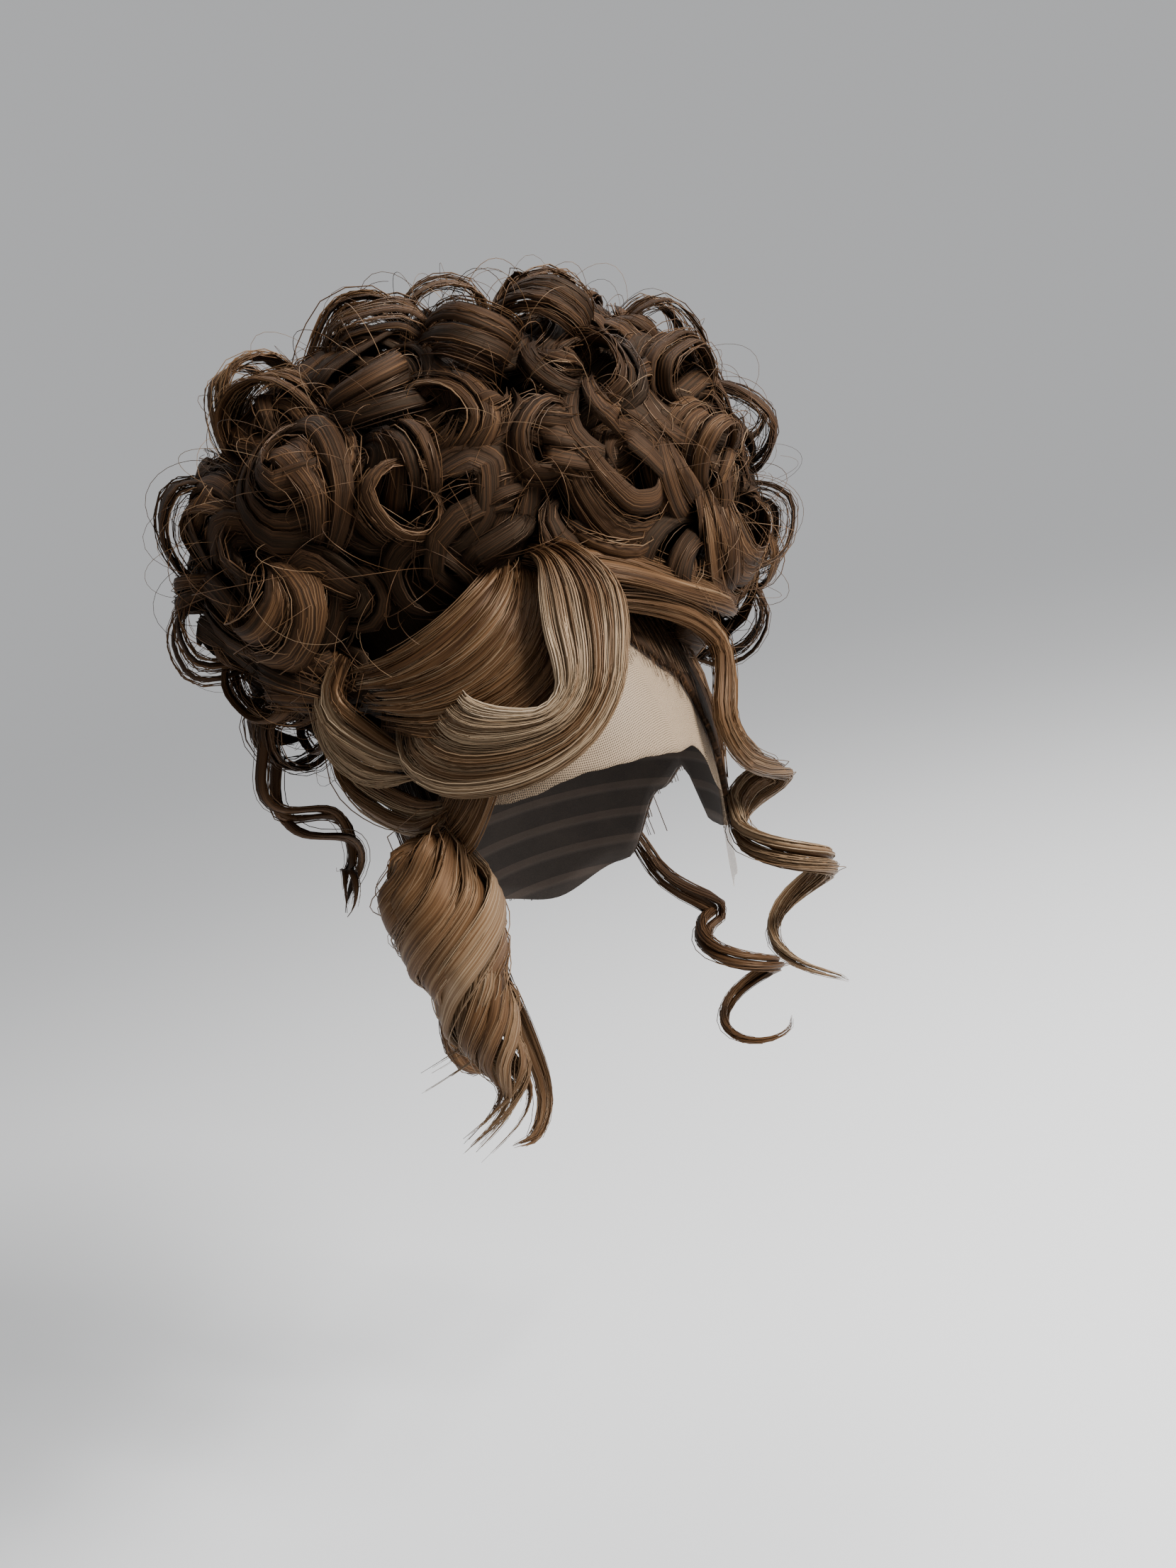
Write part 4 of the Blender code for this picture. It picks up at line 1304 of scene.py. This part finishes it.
def comb_bodies(name, locks, finish, nodes, sections, rng):
    """One closed grooved ribbon inside each lock, which the strands lie over."""
    points = []
    faces = []
    places = []
    tones = []
    turns = np.linspace(0, 2 * math.pi, sections, endpoint=False)
    for lock in locks:
        start = sum(len(part) for part in points)
        rings = len(lock.points)
        along = np.linspace(0, 1, rings)
        steps = np.linalg.norm(np.diff(lock.points, axis=0), axis=1)
        length = np.concatenate(([0], np.cumsum(steps))) + rng.uniform(0, 5)
        ends = np.clip(np.minimum(along * ROOT_TAPER, (1 - along) * TIP_TAPER), END_SHARE, 1)
        across = np.cos(turns)[None, :]
        beat = across * rng.uniform(5, 8) + rng.uniform(0, 6) + along[:, None] * 2
        grooves = 1 + GROOVE_DEPTH * np.cos(beat)
        wide = (lock.half_width * lock.body * ends)[:, None] * across
        deep = (lock.half_depth * lock.body * ends)[:, None] * np.sin(turns)[None, :] * grooves
        shell = (lock.points[:, None] + lock.side[:, None] * wide[..., None]
                 + lock.facing[:, None] * deep[..., None])
        points.append(shell.reshape(-1, 3))
        tones.append(np.repeat(lock.tone, sections))
        around = 4 * lock.half_width.max()
        offset = rng.uniform(0, 5)
        faces += grid_faces(rings, sections, True, start)
        for low, high in zip(length, length[1:]):
            for column in range(sections):
                left = offset + around * column / sections
                right = offset + around * (column + 1) / sections
                places += [(left, low), (right, low), (right, high), (left, high)]
        last = start + (rings - 1) * sections
        faces.append(tuple(start + i for i in range(sections))[::-1])
        faces.append(tuple(last + i for i in range(sections)))
        places += [(offset, length[0])] * sections + [(offset, length[-1])] * sections
    mesh = bpy.data.meshes.new(name)
    mesh.from_pydata(np.concatenate(points).tolist(), [], faces)
    layer = mesh.uv_layers.new(name="HairUV")
    layer.data.foreach_set("uv", np.array(places, dtype=np.float32).ravel())
    mesh.attributes.new("tone", "FLOAT", "POINT").data.foreach_set("value", np.concatenate(tones))
    outwards(mesh)
    mesh.materials.append(finish)
    dress(link_object(name, mesh), nodes)


def outwards(mesh):
    """Turns every face outwards and shades the mesh smooth."""
    shape = bmesh.new()
    shape.from_mesh(mesh)
    bmesh.ops.recalc_face_normals(shape, faces=shape.faces)
    shape.to_mesh(mesh)
    shape.free()
    mesh.shade_smooth()


def grid_faces(rows, columns, wrap, start=0):
    faces = []
    for row in range(rows - 1):
        for column in range(columns if wrap else columns - 1):
            a = start + row * columns + column
            b = start + row * columns + (column + 1) % columns
            faces.append((a, b, b + columns, a + columns))
    return faces


def dome_shell(name, inner, outer, columns):
    """A closed dome between two lifts, from the crown to the hairline."""
    rings = DOME_RINGS
    azimuths = [360 * i / columns for i in range(columns)]
    edges = [edge_angle(HAIRLINE, a) for a in azimuths]
    points = []
    faces = []
    for lift in (outer, inner):
        start = len(points)
        for row in range(1, rings + 1):
            for a, edge in zip(azimuths, edges):
                angle = edge * row / rings
                points.append(head_point(a, angle, lift(a, angle)))
        points.append(head_point(0, 0, lift(0, 0)))
        tip = len(points) - 1
        faces += grid_faces(rings, columns, True, start)
        faces += [(tip, start + (i + 1) % columns, start + i) for i in range(columns)]
    half = len(points) // 2
    rim = (rings - 1) * columns
    for i in range(columns):
        a = rim + i
        b = rim + (i + 1) % columns
        faces.append((a, b, b + half, a + half))
    mesh = bpy.data.meshes.new(name)
    mesh.from_pydata([tuple(p) for p in points], [], faces)
    outwards(mesh)
    return mesh


def paint_head_places(mesh, tone):
    """A UV map of lengths round and down the head, and one tone, for the streaked hair finish."""
    layer = mesh.uv_layers.new(name="HairUV")
    for face in mesh.polygons:
        turns = []
        for corner in face.vertices:
            spot = mesh.vertices[corner].co
            turns.append(math.atan2(spot.x, -spot.y))
        for corner, turn in zip(face.loop_indices, turns):
            if turn - turns[0] > math.pi:
                turn -= 2 * math.pi
            if turns[0] - turn > math.pi:
                turn += 2 * math.pi
            z = mesh.vertices[mesh.loops[corner].vertex_index].co.z
            layer.data[corner].uv = (turn * HEAD_REACH, -z)
    values = mesh.attributes.new("tone", "FLOAT", "POINT")
    values.data.foreach_set("value", np.full(len(mesh.vertices), tone))


def make_pile_core(finish):
    """The inside of the pile, lumpy, and cut clear of the head; its low tone is painted shade, the deep
    shadow inside the pile.
    """
    columns = 72
    rows = 35
    rng = np.random.default_rng(5)
    phases = rng.uniform(0, 6.28, 4)
    points = []
    for row in range(1, rows + 1):
        for i in range(columns):
            a = 360 * i / columns
            e = 90 - 180 * row / (rows + 1)
            t = math.radians(a)
            s = math.radians(e)
            lump = (math.sin(5 * t + phases[0]) * math.sin(6 * s + phases[1])
                    + 0.6 * math.sin(11 * t + phases[2]) * math.sin(9 * s + phases[3])) * math.cos(s)
            points.append(pile_point(a, e, -CORE_INSET + 0.003 * lump))
    points += [pile_point(0, 90, -CORE_INSET), pile_point(0, -90, -CORE_INSET)]
    faces = grid_faces(rows, columns, True)
    tip = len(points) - 2
    foot = len(points) - 1
    last = (rows - 1) * columns
    faces += [(tip, (i + 1) % columns, i) for i in range(columns)]
    faces += [(foot, last + i, last + (i + 1) % columns) for i in range(columns)]
    moved = clear_of_head(np.array(points), HEAD_MARGIN - 0.003)
    mesh = bpy.data.meshes.new("pile_core")
    mesh.from_pydata(moved.tolist(), [], faces)
    outwards(mesh)
    # painted shade: the core's low tone stands for the deep shadow inside the pile
    paint_head_places(mesh, tone=0.10)
    mesh.materials.append(finish)
    return link_object("pile_core", mesh)


def make_lace(finish):
    """The net strip from under the hairline to its hem, cut a little wavy, slack at the temples."""
    columns = 161
    rows = 15
    rng = np.random.default_rng(3)
    phases = rng.uniform(0, 6.28, 3)
    azimuths = np.linspace(-80, 80, columns)
    points = []
    places = []
    for layer in (0, 1):
        for row in range(rows):
            share = row / (rows - 1)
            for a in azimuths:
                top = edge_angle(HAIRLINE, a) - LACE_TUCK
                cut = 0.25 * math.sin(a / 4.7 + phases[0]) + 0.12 * math.sin(a / 1.7 + phases[1])
                hem = edge_angle(LACE_HEM, a) + cut
                angle = top + (hem - top) * share
                slack = share * max(0.0, abs(a) / 80 - 0.45)
                pucker = LACE_PUCKER * slack * (1 + math.sin(a / 1.9 + 3 * share + phases[2]))
                point = head_point(a, angle, CLEARANCE + pucker + (1 - layer) * LACE_THICK)
                points.append(point)
                down = (angle - top - LACE_TUCK) / 90 * LACE_DROP
                places.append((math.radians(a) * LACE_REACH, down))
    half = rows * columns
    faces = grid_faces(rows, columns, False)
    faces += [tuple(corner + half for corner in face)[::-1] for face in grid_faces(rows, columns, False)]
    top = list(range(columns))
    right = [columns - 1 + columns * row for row in range(rows)]
    bottom = [columns * (rows - 1) + i for i in range(columns)][::-1]
    left = [columns * row for row in range(rows)][::-1]
    ring = top + right[1:] + bottom[1:] + left[1:-1]
    for a, b in zip(ring, ring[1:] + ring[:1]):
        faces.append((a, b, b + half, a + half))
    mesh = bpy.data.meshes.new("lace_net")
    mesh.from_pydata([tuple(p) for p in points], [], faces)
    layer = mesh.uv_layers.new(name="LaceUV")
    for loop in mesh.loops:
        layer.data[loop.index].uv = places[loop.vertex_index]
    outwards(mesh)
    mesh.materials.append(finish)
    piece = link_object("lace_net", mesh)
    corners = np.array(points[:half]).reshape(rows, columns, 3)
    across = np.linalg.norm(np.diff(corners, axis=1), axis=2).sum(axis=1)
    down = np.linalg.norm(np.diff(corners, axis=0), axis=2).sum(axis=0)
    area = sum(quad_area(corners, row, column) for row in range(rows - 1) for column in range(columns - 1))
    return piece, (float(across.max()), float(down.max())), float(area)


def quad_area(corners, row, column):
    a, b = corners[row, column], corners[row, column + 1]
    c, d = corners[row + 1, column + 1], corners[row + 1, column]
    return 0.5 * float(np.linalg.norm(np.cross(c - a, d - b)))


# The wig


def make_wig():
    rng = np.random.default_rng(11)
    dark = strand_material("dark hair strands", 0.42)
    light = strand_material("light hair strands", 0.38)
    # darker is painted shade on the inside of the locks, under their strands
    dark_body = body_material("dark hair inside a lock", darker=0.15, roughness=0.66, contrast=2.1,
                              depth=0.0012)
    light_body = body_material("light hair inside a lock", darker=0.07, roughness=0.50, contrast=1.3,
                               depth=0.0006)

    cap = link_object("cap_net", dome_shell("cap_net", lambda a, t: 0.0, lambda a, t: CAP_WALL, CAP_COLUMNS))
    cap.data.materials.append(cap_material())
    dress(cap, ["cap"])
    base = dome_shell("combed_base", lambda a, t: CAP_WALL + CLEARANCE, base_lift, BASE_COLUMNS)
    paint_head_places(base, tone=0.26)
    base.materials.append(dark_body)
    dress(link_object("combed_base", base), ["hair_base"])
    lace, flat, area = make_lace(lace_material())
    dress(lace, ["lace_front"])

    grow_strands("combed_strands", combed_locks(rng), dark, ["hair_base"], seed=2)
    grow_strands("hairline_hairs", hairline_hairs(rng), dark, ["lace_front"],
                 radius=FINE_RADIUS * 0.7, seed=3, shortest=0.5)

    dress(make_pile_core(dark_body), ["curl_pile"])
    pile = pile_locks(rng)
    comb_bodies("pile_bodies", pile, dark_body, ["curl_pile"], PILE_SIDES, rng)
    grow_strands("pile_strands", pile, dark, ["curl_pile"], seed=4, tightness=0.10,
                 drift=0.26, stray=1.5, tone_spread=0.10)
    grow_strands("pile_flyaways", flyaway_locks(rng), dark, ["curl_pile"],
                 radius=FINE_RADIUS, seed=5, drift=0.0, shortest=0.7)

    swoop, panel = fringe_locks(rng)
    locks = {
        "fringe_swoop": swoop,
        "fringe_panel": panel,
        **{node: laid_locks(node, rng) for node in LAID_LOCKS},
        "face_ringlet_right": coiled_locks("face_ringlet_right", TEMPLE_WAVE_RIGHT, RINGLET_LENGTH,
                                           RINGLET_RADIUS, RINGLET_WIDTH * 0.85, 0.54, 4, 22, rng),
        "face_ringlet_left": barrel_locks(LEFT_LEAD, 18, rng),
        "nape_ringlet_right": coiled_locks("nape_ringlet_right", NAPE_RIGHT_LEAD, NAPE_LENGTH,
                                           NAPE_CURL_RADIUS, RINGLET_WIDTH * 0.65, 0.42, 3, 14, rng),
    }
    for number, (node, parts) in enumerate(locks.items()):
        for lock in parts:
            lock.points = clear_of_head(lock.points, LOCK_MARGIN)
        slot = "dark_hair" if node in DARK_NODES else "light_hair"
        comb_bodies(f"{node}_body", parts, light_body, [node], LOCK_SIDES, rng)
        grow_strands(f"{node}_strands", parts, light, [node], seed=10 + number,
                     tightness=0.3, drift=0.08, stray=1.2)


def make_floor():
    half, height = FLOOR_HALF, FLOOR_HEIGHT
    corners = [(-half, -half, height), (half, -half, height), (half, half, height), (-half, half, height)]
    mesh = bpy.data.meshes.new("floor")
    mesh.from_pydata(corners, [], [(0, 1, 2, 3)])
    mesh.materials.append(floor_material())
    link_object("floor", mesh)


def make_light():
    world = bpy.data.worlds.new("studio")
    bpy.context.scene.world = world
    world.use_nodes = True
    background = world.node_tree.nodes["Background"]
    background.inputs["Color"].default_value = SKY_COLOUR
    background.inputs["Strength"].default_value = SKY_STRENGTH
    for name, place, size, power in LAMPS:
        lamp = bpy.data.lights.new(name, "AREA")
        lamp.size = size
        lamp.energy = power
        back = unit(np.array(place) - np.array(LAMP_AIM))
        right = unit(np.cross((0.0, 0.0, 1.0), back))
        link_object(name, lamp).matrix_world = placed(place, right, np.cross(back, right), back)


def placed(place, right, up, back):
    matrix = Matrix.Identity(4)
    for row in range(3):
        matrix[row][0] = right[row]
        matrix[row][1] = up[row]
        matrix[row][2] = back[row]
        matrix[row][3] = place[row]
    return matrix


def make_camera():
    """A short lens close above the face, turned so that the wig leans to the left in the frame."""
    around, rise, roll = (math.radians(value) for value in CAMERA_TURN)
    back = np.array((math.sin(around) * math.cos(rise), -math.cos(around) * math.cos(rise), math.sin(rise)))
    right = np.array((math.cos(around), math.sin(around), 0.0))
    up = np.cross(back, right)
    lens = bpy.data.cameras.new("camera")
    lens.lens = LENS
    lens.sensor_width = SENSOR
    camera = link_object("camera", lens)
    place = np.array(CAMERA_AIM) + back * CAMERA_DISTANCE
    camera.matrix_world = placed(place, right * math.cos(roll) - up * math.sin(roll),
                                 up * math.cos(roll) + right * math.sin(roll), back)
    bpy.context.scene.camera = camera


strand_tree = make_strand_tree()
make_wig()
make_floor()
make_light()
make_camera()

bpy.context.view_layer.update()
